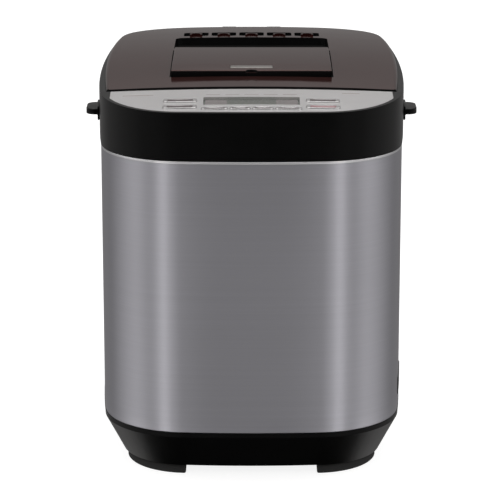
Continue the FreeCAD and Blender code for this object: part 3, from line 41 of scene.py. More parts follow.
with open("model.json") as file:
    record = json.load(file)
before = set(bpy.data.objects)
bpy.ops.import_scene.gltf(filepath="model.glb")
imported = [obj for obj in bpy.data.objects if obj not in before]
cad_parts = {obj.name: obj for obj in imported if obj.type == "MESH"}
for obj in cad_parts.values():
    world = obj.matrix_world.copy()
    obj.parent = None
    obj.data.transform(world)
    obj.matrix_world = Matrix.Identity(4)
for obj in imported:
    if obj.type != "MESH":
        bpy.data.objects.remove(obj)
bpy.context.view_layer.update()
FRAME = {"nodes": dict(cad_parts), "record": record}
MM = 0.001

# Plan of the casing in millimetres: four bowed sides joined by round corners.
HALF_WIDTH = 125.0
HALF_DEPTH = 178.0
FRONT_BOW = 675.0
SIDE_BOW = 1200.0
CORNER = 69.0
# Steel wrap.
WRAP_INSET = 0.8
WRAP_LOW = 46.0
WRAP_HIGH = 267.0
SHEET_INSIDE = 1.6
# Rolled bead at the wrap's top: inset of its middle, drop below the top, radius.
BEAD_INSET, BEAD_DROP, BEAD_RADIUS = 0.95, 1.15, 0.72
# Hole in the wrap for the side vent, from front to back and from low to high.
VENT_Y = (-110.8, -69.2)
VENT_Z = (60.2, 69.8)
# Sloping panel: where its surface starts, how it leans and how it is crowned across.
PANEL_FRONT = -175.0
PANEL_HEIGHT = 305.5
PANEL_SLOPE = math.radians(6.4)
PANEL_CROWN = 2800.0
WINDOW_ALONG = 28.0
# Display plates: depths below the panel, how far the module sinks under them, middle of each side.
PLATE_LOW, PLATE_HIGH = -2.6, -1.94
MODULE_SINK = 0.5
SIDE_PLATE = 27.6
# Buttons: rim height above the panel, depth of the dish, radius of the rim and of the corners.
BUTTON_RISE, BUTTON_DISH, BUTTON_RIM, BUTTON_CORNER = 0.8, 0.5, 0.35, 2.4
BUTTON_FOOT = -0.6
# Lid crown: highest point and the two radii of its top.
LID_INSET = 5.0
LID_PEAK = 318.5
LID_PEAK_Y = 18.0
LID_BOW = 1638.4
LID_CROWN = 2800.0
LID_BOTTOM = 308.3
LID_FRONT = -116.5
LID_FRONT_ROUND = 3.2
# Where the casing's corner circles have their centres, across and along.
CORNER_X, CORNER_Y = 51.0, 106.9
# A face of the lid keeps its gloss above this depth and slope; deeper or steeper faces get the
# darker wall finish as painted shade.
SKIN_DEPTH, SKIN_SLOPE = 4.5, 0.45
# Faces of the lid's front round that slope more than this get a near-black matt finish as a painted
# shadow line.
EDGE_SLOPE = 0.988
# Room that the lid's rear edge leaves over the hinge knuckles: across, along, up.
KNUCKLE_TOP = ((-40, 40), (160, 185), (310.7, 330))
# Light of the room by angle from the front in degrees, below and above the window line.
LOW_ROOM = ((0, 0.012), (9, 0.012), (14, 0.04), (26, 0.06), (34, 0.12), (48, 0.16), (62, 0.16),
            (75, 0.30), (110, 0.34), (128, 0.24), (142, 0.26), (156, 0.225), (180, 0.235))
HIGH_ROOM = ((0, 0.82), (4, 0.92), (6.5, 0.62), (8.5, 0.50), (11, 0.86), (16, 1.35), (27, 1.35),
             (32, 2.3), (41, 2.3), (48, 1.3), (60, 0.85), (69, 1.35), (108, 1.2), (130, 0.4),
             (155, 0.35), (180, 0.40))
# Elevations in degrees between which the room changes.
WINDOW_TOP, WINDOW_FOOT = (14, 26), (-30, -36)
CEILING, CEILING_LIGHT = (62, 70), 0.35
GROUND, GROUND_SHADE = (-50, -58), 0.97


# ---------------------------------------------------------------- mesh helpers

def mesh_piece(name, points, faces):
    """An object at the origin from an (n, 3) array in millimetres and its faces."""
    mesh = bpy.data.meshes.new(name)
    mesh.from_pydata((np.asarray(points) * MM).tolist(), [], [list(f) for f in faces])
    mesh.update()
    mesh.polygons.foreach_set("use_smooth", np.ones(len(mesh.polygons), bool))
    piece = bpy.data.objects.new(name, mesh)
    bpy.context.scene.collection.objects.link(piece)
    return piece


def grid_faces(rows, columns, wrap_rows=False, wrap_columns=False):
    """Quads between neighbours of a rows by columns grid of points, closed in either way."""
    r = np.arange(rows if wrap_rows else rows - 1)
    c = np.arange(columns if wrap_columns else columns - 1)
    r, c = np.meshgrid(r, c, indexing="ij")
    down, right = (r + 1) % rows, (c + 1) % columns
    quads = np.stack([r * columns + c, r * columns + right,
                      down * columns + right, down * columns + c], axis=-1)
    return quads.reshape(-1, 4).tolist()


def read(items, key, width=3, kind=float):
    """One property of every vertex, loop or face as an array, a row for each."""
    values = np.zeros(len(items) * width, kind)
    items.foreach_get(key, values)
    return values.reshape(-1, width)


def outward(piece):
    """Merges doubles and turns every face of a closed piece outwards."""
    work = bmesh.new()
    work.from_mesh(piece.data)
    bmesh.ops.remove_doubles(work, verts=work.verts, dist=1e-7)
    bmesh.ops.recalc_face_normals(work, faces=work.faces)
    work.to_mesh(piece.data)
    work.free()
    return piece


def creased(piece, degrees=32.0):
    """Smooth shading that breaks where two faces meet at more than an angle."""
    work = bmesh.new()
    work.from_mesh(piece.data)
    limit = math.radians(degrees)
    for edge in work.edges:
        edge.smooth = len(edge.link_faces) == 2 and edge.calc_face_angle(0.0) < limit
    for face in work.faces:
        face.smooth = True
    work.to_mesh(piece.data)
    work.free()
    return piece


def apply_modifiers(piece):
    """Bakes a piece's modifiers into its mesh."""
    graph = bpy.context.evaluated_depsgraph_get()
    mesh = bpy.data.meshes.new_from_object(piece.evaluated_get(graph))
    piece.modifiers.clear()
    piece.data = mesh
    return piece


def cad_copy(name, source):
    """A merged copy of a CAD node, to be trimmed and shown in its place."""
    work = bmesh.new()
    work.from_mesh(FRAME["nodes"][source].data)
    bmesh.ops.remove_doubles(work, verts=work.verts, dist=2e-6)
    mesh = bpy.data.meshes.new(name)
    work.to_mesh(mesh)
    work.free()
    piece = bpy.data.objects.new(name, mesh)
    bpy.context.scene.collection.objects.link(piece)
    return piece


def trimmed(piece, cutter, operation="DIFFERENCE"):
    """Takes the cutter's volume from a piece, or keeps what they share, and drops the cutter."""
    cut = piece.modifiers.new("trim", "BOOLEAN")
    cut.operation = operation
    cut.solver = "EXACT"
    cut.object = cutter
    apply_modifiers(piece)
    bpy.data.objects.remove(cutter)
    return piece


def painted_shade_tones(piece):
    """Leaves the finish on faces that look up near a moulded part's top and puts the darker wall
    finish on walls, pockets and the inside as painted shade, and a matt near-black one on the round
    of the lid's front edge as a painted shadow line."""
    piece.data.materials.append(finish("lid_wall"))
    piece.data.materials.append(finish("gap_black"))
    faces = piece.data.polygons
    up, centre = read(faces, "normal")[:, 2], read(faces, "center") / MM
    # Painted shade: faces below the skin depth or steeper than its slope get the darker wall
    # finish.
    deep = centre[:, 2] < lid_height(centre[:, 0], centre[:, 1]) - SKIN_DEPTH
    # Painted shadow line: the lid's front round gets the near-black matt finish.
    front = (centre[:, 1] < LID_FRONT + LID_FRONT_ROUND) & (up < EDGE_SLOPE)
    which = np.where(front, 2, (up < SKIN_SLOPE) | deep)
    faces.foreach_set("material_index", which.astype(np.int32))
    piece.data.update()


def hold(piece, body, slot, *nodes, tint=None):
    """Parents a piece to a body's empty, gives it its finish and hides the CAD nodes that it stands
    in for.

    A tint, where given, is the finish used instead of the slot's.
    """
    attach(piece, body)
    if nodes:
        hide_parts(*nodes)
    piece.data.materials.clear()
    piece.data.materials.append(finish(tint or slot))
    return piece


# ---------------------------------------------------------------- shapes

def plan_curve(steps):
    """Centres, radii and normals round the plan outline, anticlockwise from the front's middle.

    Each point is centre + (radius - inset) * normal, so one set of normals serves every inset.
    A corner's centre is where circles of radius (bow - corner) about the two bows' centres meet.
    The steps are the points along the front or back, round a corner and along a side.
    """
    up, out = FRONT_BOW - HALF_DEPTH, SIDE_BOW - HALF_WIDTH
    big, side = FRONT_BOW - CORNER, SIDE_BOW - CORNER
    span = math.hypot(out, up)
    along = (big**2 - side**2 + span**2) / (2 * span)
    off = math.sqrt(big**2 - along**2)
    x = (-out * along + up * off) / span
    y = -up + (up * along + out * off) / span
    steep = math.atan2(x, y + up)
    shallow = math.pi / 2 - math.atan2(y, x + out)
    bow, turn, flank = steps
    runs = (
        (0, up, FRONT_BOW, 0, steep, bow // 2),
        (x, -y, CORNER, steep, shallow, turn),
        (-out, 0, SIDE_BOW, shallow, math.pi - shallow, flank),
        (x, y, CORNER, math.pi - shallow, math.pi - steep, turn),
        (0, -up, FRONT_BOW, math.pi - steep, math.pi + steep, bow),
        (-x, y, CORNER, math.pi + steep, math.pi + shallow, turn),
        (out, 0, SIDE_BOW, math.pi + shallow, 2 * math.pi - shallow, flank),
        (-x, -y, CORNER, 2 * math.pi - shallow, 2 * math.pi - steep, turn),
        (0, up, FRONT_BOW, 2 * math.pi - steep, 2 * math.pi, bow // 2),
    )
    angle = np.concatenate([np.linspace(a, b, n, endpoint=False) for _, _, _, a, b, n in runs])
    centre = np.concatenate([np.tile((cx, cy), (n, 1)) for cx, cy, _, _, _, n in runs])
    radius = np.concatenate([np.full(n, r) for _, _, r, _, _, n in runs])
    normal = np.stack([np.sin(angle), -np.cos(angle)], axis=-1)
    return {"centre": centre, "radius": radius, "normal": normal}


def inset_points(curve, inset):
    """Plan points set in from the outline by an inset, one number or one for each point."""
    return curve["centre"] + (curve["radius"] - inset)[:, None] * curve["normal"]


def carried(curve, profile):
    """Rings (k, n, 3): a profile of (inset, height) pairs carried round the plan outline."""
    rings = [np.column_stack([inset_points(curve, inset), np.full(len(curve["radius"]), z)])
             for inset, z in profile]
    return np.array(rings)


def arc_profile(inset, height, radius, start, end, steps):
    """(inset, height) pairs on a circle; angle 0 points outwards and 90 degrees up."""
    a = np.radians(np.linspace(start, end, steps))
    return list(zip(inset - radius * np.cos(a), height + radius * np.sin(a)))


def lid_height(x, y):
    """Height of the lid's crown: an arc across the lid swept about a low axis along X."""
    across = np.sqrt(LID_CROWN**2 - x**2) - LID_CROWN
    return LID_PEAK - LID_BOW + np.sqrt((LID_BOW + across) ** 2 - (y - LID_PEAK_Y) ** 2)


def on_panel(u, v, w):
    """Points on the control panel from u across, v up its slope and w above its crowned surface."""
    u, v, w = np.broadcast_arrays(np.asarray(u, float), v, w)
    drop = PANEL_CROWN - np.sqrt(PANEL_CROWN**2 - u**2)
    rise = w - drop
    return np.stack([u,
                     PANEL_FRONT + v * math.cos(PANEL_SLOPE) - rise * math.sin(PANEL_SLOPE),
                     PANEL_HEIGHT + v * math.sin(PANEL_SLOPE) + rise * math.cos(PANEL_SLOPE)],
                    axis=-1)


def pill_outline(width, length, corner, steps=7):
    """Points round a rectangle with round corners, about the origin: each corner's centre plus the
    corner radius times the cosine and sine of a quarter turn."""
    quarter = np.linspace(0, math.pi / 2, steps)
    angle = np.concatenate([quarter + k * math.pi / 2 for k in range(4)])
    sx = np.repeat([1, -1, -1, 1], steps) * (width / 2 - corner)
    sy = np.repeat([1, 1, -1, -1], steps) * (length / 2 - corner)
    return np.column_stack([sx + corner * np.cos(angle), sy + corner * np.sin(angle)])


def softened(piece, width, segments=3):
    """Merges flat facets and rounds every sharp edge, width in millimetres."""
    work = bmesh.new()
    work.from_mesh(piece.data)
    bmesh.ops.dissolve_limit(work, angle_limit=math.radians(1.0),
                             verts=work.verts, edges=work.edges)
    work.to_mesh(piece.data)
    work.free()
    bevel = piece.modifiers.new("soft edges", "BEVEL")
    bevel.width = width * MM
    bevel.segments = segments
    bevel.limit_method = "ANGLE"
    bevel.angle_limit = math.radians(35)
    apply_modifiers(piece)
    return creased(piece, 30)


def joined(name, parts):
    """One object from several (points, faces) pairs."""
    points, faces, count = [], [], 0
    for part_points, part_faces in parts:
        part_points = np.asarray(part_points).reshape(-1, 3)
        points.append(part_points)
        faces += [[index + count for index in face] for face in part_faces]
        count += len(part_points)
    return mesh_piece(name, np.concatenate(points), faces)


def stacked(rings):
    """Points and faces of rings joined from first to last, both ends closed by a flat face."""
    rings = np.asarray(rings)
    rows, columns = rings.shape[:2]
    faces = grid_faces(rows, columns, wrap_columns=True)
    faces += [list(range(columns)), list(range((rows - 1) * columns, rows * columns))]
    return rings.reshape(-1, 3), faces


def closed(name, rings):
    """One closed object whose skin joins rings."""
    return outward(joined(name, [stacked(rings)]))


def panel_plate(outline, low, high):
    """Points and faces of a thin plate on the panel: its outline in (across, up the slope)."""
    u, v = np.asarray(outline, float).T
    return stacked([on_panel(u, v, low), on_panel(u, v, high)])


def bar_outline(u, v, width, length, steps=6):
    """A rectangle's outline with points along its long sides, so it can follow the crown."""
    across = np.linspace(-width / 2, width / 2, steps)
    return np.concatenate([np.column_stack([u + across, np.full(steps, v - length / 2)]),
                           np.column_stack([u - across, np.full(steps, v + length / 2)])])


def button_hollow(x, y, half_x, half_y):
    """Height of a button's dished face: deepest in the middle, level with its rim at the edge."""
    return BUTTON_RISE - BUTTON_DISH * (1 - (x / half_x) ** 2) * (1 - (y / half_y) ** 2)


# ---------------------------------------------------------------- node helpers

def node(tree, kind, inputs=None, **settings):
    """A new node; inputs takes numbers, colours or the sockets to link."""
    made = tree.nodes.new(kind)
    for key, value in settings.items():
        setattr(made, key, value)
    for key, value in (inputs or {}).items():
        if isinstance(value, bpy.types.NodeSocket):
            tree.links.new(value, made.inputs[key])
        else:
            made.inputs[key].default_value = value
    return made


def maths(tree, operation, a, b=0.0, clamp=False):
    """One Math node's value."""
    inputs = {0: a, 1: b}
    return node(tree, "ShaderNodeMath", inputs, operation=operation, use_clamp=clamp).outputs[0]


def times(tree, a, b, clamp=False):
    """a * b"""
    return maths(tree, "MULTIPLY", a, b, clamp)


def plus(tree, a, b, clamp=False):
    """a + b"""
    return maths(tree, "ADD", a, b, clamp)


def minus(tree, a, b):
    """a - b"""
    return maths(tree, "SUBTRACT", a, b)


def on_object(tree):
    """A point's place on the object, in metres."""
    return node(tree, "ShaderNodeTexCoord").outputs["Object"]


def noise(tree, vector, scale, detail=2.0, roughness=0.5):
    """A noise texture's value, 0 to 1."""
    settings = {"Vector": vector, "Scale": scale, "Detail": detail, "Roughness": roughness}
    return node(tree, "ShaderNodeTexNoise", settings).outputs["Fac"]


def effect(name, inputs, outputs, build):
    """A shader node group with named inputs and outputs, built once."""
    group = bpy.data.node_groups.get(name)
    if group:
        return group
    group = bpy.data.node_groups.new(name, "ShaderNodeTree")
    for label, value in inputs.items():
        socket = group.interface.new_socket(label, in_out="INPUT", socket_type="NodeSocketFloat")
        socket.default_value = value
    for label in outputs:
        group.interface.new_socket(label, in_out="OUTPUT", socket_type="NodeSocketFloat")
    enter = group.nodes.new("NodeGroupInput")
    leave = group.nodes.new("NodeGroupOutput")
    for label, socket in build(group, enter.outputs).items():
        group.links.new(socket, leave.inputs[label])
    return group


def moulded_grain(tree, put):
    """Fine spark-eroded grain, and soft smudges that make the sheen uneven."""
    place = on_object(tree)
    fine = noise(tree, place, put["Scale"], 3.0, 0.6)
    smudge = noise(tree, place, 22.0, 3.0, 0.55)
    streak = node(tree, "ShaderNodeMapping", {"Vector": place, "Scale": (14.0, 60.0, 60.0),
                                              "Rotation": (0.0, 0.0, 0.35)}).outputs[0]
    wiped = noise(tree, streak, 1.0, 3.0, 0.6)
    mixed = plus(tree, times(tree, smudge, 0.5), times(tree, wiped, 0.5))
    rough = plus(tree, put["Roughness"], times(tree, minus(tree, mixed, 0.5), put["Spread"]))
    rough = plus(tree, rough, times(tree, minus(tree, fine, 0.5), 0.06))
    return {"Height": fine, "Roughness": rough, "Shade": mixed}


def brushed_grain(tree, put):
    """Long horizontal scratches round the piece, in two widths, and a slow unevenness."""
    place = on_object(tree)
    scale = {"X": put["Along"], "Y": put["Along"], "Z": put["Across"]}
    long = node(tree, "ShaderNodeCombineXYZ", scale).outputs[0]
    drawn = node(tree, "ShaderNodeVectorMath", {0: place, 1: long}, operation="MULTIPLY").outputs[0]
    fine = noise(tree, drawn, 1.0, 4.0, 0.65)
    coarse = noise(tree, drawn, 0.23, 2.0, 0.5)
    slow = noise(tree, place, 9.0, 1.0)
    both = plus(tree, times(tree, fine, 0.65), times(tree, coarse, 0.35))
    centred = minus(tree, both, 0.5)
    rough = plus(tree, put["Roughness"], times(tree, centred, put["Spread"]))
    rough = plus(tree, rough, times(tree, minus(tree, slow, 0.5), 0.08))
    return {"Height": both, "Roughness": rough, "Shade": centred}


def edge_wear(tree, put):
    """1 along convex edges, broken up by noise, 0 elsewhere."""
    sharp = node(tree, "ShaderNodeNewGeometry").outputs["Pointiness"]
    patch = noise(tree, on_object(tree), 300.0, 3.0)
    lifted = times(tree, minus(tree, sharp, 0.52), 9.0, clamp=True)
    worn = times(tree, lifted, times(tree, patch, 1.6))
    return {"Mask": times(tree, worn, put["Amount"], clamp=True)}


def settled_dust(tree, put):
    """Faint dust in patches on faces that look up."""
    normal = node(tree, "ShaderNodeNewGeometry").outputs["Normal"]
    up = node(tree, "ShaderNodeSeparateXYZ", {0: normal}).outputs["Z"]
    place = on_object(tree)
    cloud = noise(tree, place, 35.0, 5.0, 0.6)
    speck = noise(tree, place, 900.0, 1.0)
    lying = times(tree, minus(tree, up, 0.6), 2.5, clamp=True)
    thin = times(tree, cloud, plus(tree, 0.5, times(tree, speck, 0.9)))
    return {"Mask": times(tree, times(tree, lying, thin), put["Amount"], clamp=True)}


GROUPS = {
    "Moulded Grain": ({"Scale": 1800.0, "Roughness": 0.4, "Spread": 0.2},
                      ("Height", "Roughness", "Shade"), moulded_grain),
    "Brushed Grain": ({"Along": 14.0, "Across": 2200.0, "Roughness": 0.3, "Spread": 0.15},
                      ("Height", "Roughness", "Shade"), brushed_grain),
    "Edge Wear": ({"Amount": 0.5}, ("Mask",), edge_wear),
    "Settled Dust": ({"Amount": 0.1}, ("Mask",), settled_dust),
}


def use_effect(tree, name, **values):
    """The outputs of an effect placed in a material with its own values."""
    inputs, outputs, build = GROUPS[name]
    made = tree.nodes.new("ShaderNodeGroup")
    made.node_tree = effect(name, inputs, outputs, build)
    for key, value in values.items():
        made.inputs[key].default_value = value
    return made.outputs


# ---------------------------------------------------------------- finishes

def blank(name):
    """A material with an empty tree, its shader and its output."""
    made = bpy.data.materials.new(name)
    made.use_nodes = True
    tree = made.node_tree
    tree.nodes.clear()
    shader = node(tree, "ShaderNodeBsdfPrincipled")
    node(tree, "ShaderNodeOutputMaterial", {0: shader.outputs[0]})
    return made, tree, shader


def mixed_colour(tree, share, one, two):
    """A colour between two by a mask."""
    made = node(tree, "ShaderNodeMix", {"Factor": share}, data_type="RGBA")
    for socket, value in ((made.inputs[6], one), (made.inputs[7], two)):
        if isinstance(value, bpy.types.NodeSocket):
            tree.links.new(value, socket)
        else:
            socket.default_value = (*value, 1.0)
    return made.outputs[2]


DUST = (0.42, 0.39, 0.36)

# Moulded finishes: colour, roughness, grain scale, bump depth, unevenness of the gloss, dust,
# wear, and shade where it isn't 0.25. A colour is three numbers, or one of the settings below and
# how much it is lifted.
MOULDED = {
    # lid_wall is put on the lid's and door's walls, pockets and inside as painted shade.
    "lid_wall": (("casing_black", 1.0), 0.34, 1800.0, 0.03, 0.12, 0.01, 0.1),
    "black_casing": (("casing_black", 1.0), 0.30, 1800.0, 0.02, 0.12, 0.012, 0.12),
    "lid_plastic": (("lid_black", 1.0), 0.12, 1500.0, 0.03, 0.16, 0.02, 0.1),
    # gap_black is also put on the lid's front round as a painted shadow line.
    "gap_black": ((0.0015, 0.0014, 0.0014), 0.7, 900.0, 0.03, 0.2, 0.0, 0.0),
    "display": ((0.030, 0.035, 0.028), 0.4, 900.0, 0.03, 0.05, 0.0, 0.0),
    "display_side": ((0.135, 0.108, 0.115), 0.45, 900.0, 0.03, 0.05, 0.0, 0.0),
    "board": ((0.015, 0.10, 0.035), 0.4, 700.0, 0.03, 0.1, 0.05, 0.1),
    "rubber_black": ((0.010, 0.010, 0.010), 0.72, 2600.0, 0.08, 0.15, 0.05, 0.3),
    "silicone": ((0.42, 0.40, 0.37), 0.5, 1200.0, 0.03, 0.1, 0.05, 0.0),
    "ceramic_white": ((0.74, 0.71, 0.66), 0.55, 900.0, 0.04, 0.15, 0.05, 0.2, 0.06),
    "nonstick": ((0.030, 0.030, 0.032), 0.34, 1100.0, 0.08, 0.2, 0.0, 0.35),
    "pulley_plastic": ((0.55, 0.53, 0.48), 0.45, 1200.0, 0.03, 0.15, 0.05, 0.1, 0.06),
    "belt_rubber": ((0.014, 0.014, 0.014), 0.62, 1500.0, 0.08, 0.2, 0.03, 0.3),
}

# Printed inks share one finish and differ in colour.
INKS = {"blush_ink": (0.33, 0.19, 0.20), "display_ink": (0.02, 0.022, 0.02),
        "panel_ink": (0.085, 0.07, 0.07), "faint_ink": (0.27, 0.215, 0.205)}
MOULDED |= {name: (colour, 0.5, 900.0, 0.03, 0.2, 0.0, 0.0) for name, colour in INKS.items()}

# Metal finishes: colour, roughness, grain along and across, unevenness of the gloss, bump depth,
# shade, and wear if there is any.
METAL = {
    "outer_steel": (("wrap_steel", 1.0), 0.38, 10.0, 2600.0, 0.12, 0.012, 0.10),
    "polished_edge": ((0.86, 0.86, 0.88), 0.3, 40.0, 900.0, 0.1, 0.01, 0.04),
    "pin_dark": ((0.035, 0.03, 0.03), 0.5, 400.0, 400.0, 0.2, 0.03, 0.2),
    "fascia_silver": (("panel_silver", 1.0), 0.42, 900.0, 900.0, 0.18, 0.03, 0.05),
    "button_silver": (("panel_silver", 1.12), 0.26, 900.0, 900.0, 0.1, 0.02, 0.04),
    "screw_steel": ((0.62, 0.61, 0.59), 0.28, 500.0, 1500.0, 0.15, 0.02, 0.08, 0.3),
    "oven_steel": ((0.56, 0.56, 0.55), 0.33, 30.0, 900.0, 0.25, 0.03, 0.12, 0.2),
    "chassis_steel": ((0.50, 0.51, 0.52), 0.42, 60.0, 60.0, 0.35, 0.03, 0.2, 0.3),
    "element_steel": ((0.20, 0.18, 0.17), 0.46, 120.0, 120.0, 0.3, 0.05, 0.3, 0.4),
    "cast_alloy": ((0.47, 0.47, 0.47), 0.5, 400.0, 400.0, 0.3, 0.12, 0.15, 0.4),
    "badge": ((0.34, 0.325, 0.31), 0.38, 30.0, 1200.0, 0.15, 0.02, 0.08, 0.2),
    "motor_steel": ((0.42, 0.42, 0.43), 0.38, 40.0, 700.0, 0.25, 0.03, 0.12, 0.3),
    "copper": ((0.62, 0.30, 0.14), 0.35, 2500.0, 2500.0, 0.2, 0.2, 0.3),
}

# Settings of the shader itself, the same all over a surface.
SOCKETS = {
    "lid_wall": {"Specular IOR Level": 0.25},
    "black_casing": {"Specular IOR Level": 0.3},
    "lid_plastic": {"Specular Tint": (1.0, 0.68, 0.64, 1.0), "Specular IOR Level": 0.58},
    "gap_black": {"Specular IOR Level": 0.02},
    "display": {"Specular IOR Level": 0.2},
    "display_side": {"Specular IOR Level": 0.2},
    "silicone": {"Subsurface Weight": 0.1},
    "nonstick": {"Metallic": 0.35},
    "outer_steel": {"Anisotropic": 0.98},
}

# Finishes whose gloss is drawn out along the first axis of a piece's own map.
DRAWN_OUT = {"outer_steel": "lie"}


def surface(tree, shader, base, grain, depth, distance):
    """Joins colour, roughness and a bump from the grain to the shader."""
    tree.links.new(base, shader.inputs["Base Color"])
    tree.links.new(grain["Roughness"], shader.inputs["Roughness"])
    settings = {"Strength": depth, "Distance": distance, "Height": grain["Height"]}
    bump = node(tree, "ShaderNodeBump", settings)
    tree.links.new(bump.outputs[0], shader.inputs["Normal"])


def moulded(name, colour, roughness, scale, depth, spread, dust, wear, shade=0.25):
    """Moulded plastic or rubber: grain, smudges, edges rubbed lighter, and faint dust."""
    made, tree, shader = blank(name)
    grain = use_effect(tree, "Moulded Grain", Scale=scale, Roughness=roughness, Spread=spread)
    worn = use_effect(tree, "Edge Wear", Amount=wear)["Mask"]
    dusty = use_effect(tree, "Settled Dust", Amount=dust)["Mask"]
    dark, light = (tuple(c * k for c in colour) for k in (1 - shade, 1 + shade))
    rubbed = tuple(min(1.0, c * 1.9 + 0.01) for c in colour)
    base = mixed_colour(tree, grain["Shade"], dark, light)
    base = mixed_colour(tree, worn, base, rubbed)
    base = mixed_colour(tree, dusty, base, DUST)
    surface(tree, shader, base, grain, depth, 0.0004)
    return made, shader


def metal(name, colour, roughness, along, across, spread, depth, shade, wear=0.0):
    """Bare metal with a brushed or rolled grain."""
    made, tree, shader = blank(name)
    grain = use_effect(tree, "Brushed Grain", Along=along, Across=across,
                       Roughness=roughness, Spread=spread)
    dark = tuple(c * (1 - shade) for c in colour)
    light = tuple(min(1.0, c * (1 + shade)) for c in colour)
    base = mixed_colour(tree, plus(tree, grain["Shade"], 0.5, clamp=True), dark, light)
    if wear:
        worn = use_effect(tree, "Edge Wear", Amount=wear)["Mask"]
        base = mixed_colour(tree, worn, base, tuple(min(1.0, c * 1.5 + 0.05) for c in colour))
    surface(tree, shader, base, grain, depth, 0.0003)
    shader.inputs["Metallic"].default_value = 1.0
    if name in DRAWN_OUT:
        lie = node(tree, "ShaderNodeTangent", direction_type="UV_MAP", uv_map=DRAWN_OUT[name])
        tree.links.new(lie.outputs[0], shader.inputs["Tangent"])
    return made, shader


def clear_window(name):
    """A thin clear pane: mostly see-through, with a gloss of its own."""
    made, tree, shader = blank(name)
    grain = use_effect(tree, "Moulded Grain", Scale=600.0, Roughness=0.1, Spread=0.1)
    tree.links.new(grain["Roughness"], shader.inputs["Roughness"])
    shader.inputs["Base Color"].default_value = (0.40, 0.41, 0.39, 1.0)
    shader.inputs["Alpha"].default_value = 0.16
    made.surface_render_method = "BLENDED"
    return made


def make_finish(name):
    """A new material from the tables; a colour's setting is read from the scene."""
    if name == "window":
        return clear_window(name)
    kind, table = (moulded, MOULDED) if name in MOULDED else (metal, METAL)
    colour, *values = table[name]
    if len(colour) == 2:
        setting, lift = colour
        colour = tuple(c * lift for c in getattr(bpy.context.scene.bread_finishes, setting))
    made, shader = kind(name, colour, *values)
    for key, value in SOCKETS.get(name, {}).items():
        shader.inputs[key].default_value = value
    return made


FINISHES = {}


def finish(name):
    """The material of a slot or tint, made on first use."""
    if name not in FINISHES:
        FINISHES[name] = make_finish(name)
    return FINISHES[name]


# ---------------------------------------------------------------- settings

class BreadSizes(PropertyGroup):
    """Sizes of the skins that a user would change."""

    lid_round: FloatProperty(
        name="Lid edge", description="Radius of the lid's rounded edge", default=0.004,
        min=0.0005, max=0.006, unit="LENGTH")
    camera_distance: FloatProperty(
        name="Camera distance", description="How far in front of the machine the camera stands",
        default=2.073, min=0.5, unit="LENGTH")
    camera_height: FloatProperty(
        name="Camera height", description="Height of the camera above the table",
        default=0.702, min=0.0, unit="LENGTH")
    camera_pitch: FloatProperty(
        name="Camera pitch", description="How far the camera looks down",
        default=math.radians(14.93), subtype="ANGLE", unit="ROTATION")
    camera_lens: FloatProperty(
        name="Camera lens", description="Focal length in millimetres", default=181.8,
        min=20.0, unit="CAMERA")


def colour_setting(name, description, default):
    """A colour that the panel shows."""
    return FloatVectorProperty(name=name, description=description, default=default,
                               subtype="COLOR", min=0.0, max=1.0)


class BreadFinishes(PropertyGroup):
    """Colours of the main finishes."""

    casing_black: colour_setting("Casing", "Black of the collar and base", (0.0016, 0.0016, 0.0017))
    lid_black: colour_setting("Lid", "Warm black of the lid", (0.018, 0.004, 0.0034))
    wrap_steel: colour_setting("Steel", "Brushed steel of the wrap", (0.575, 0.572, 0.62))
    panel_silver: colour_setting("Panel", "Silver paint of the control panel", (0.64, 0.63, 0.63))


# ---------------------------------------------------------------- operators

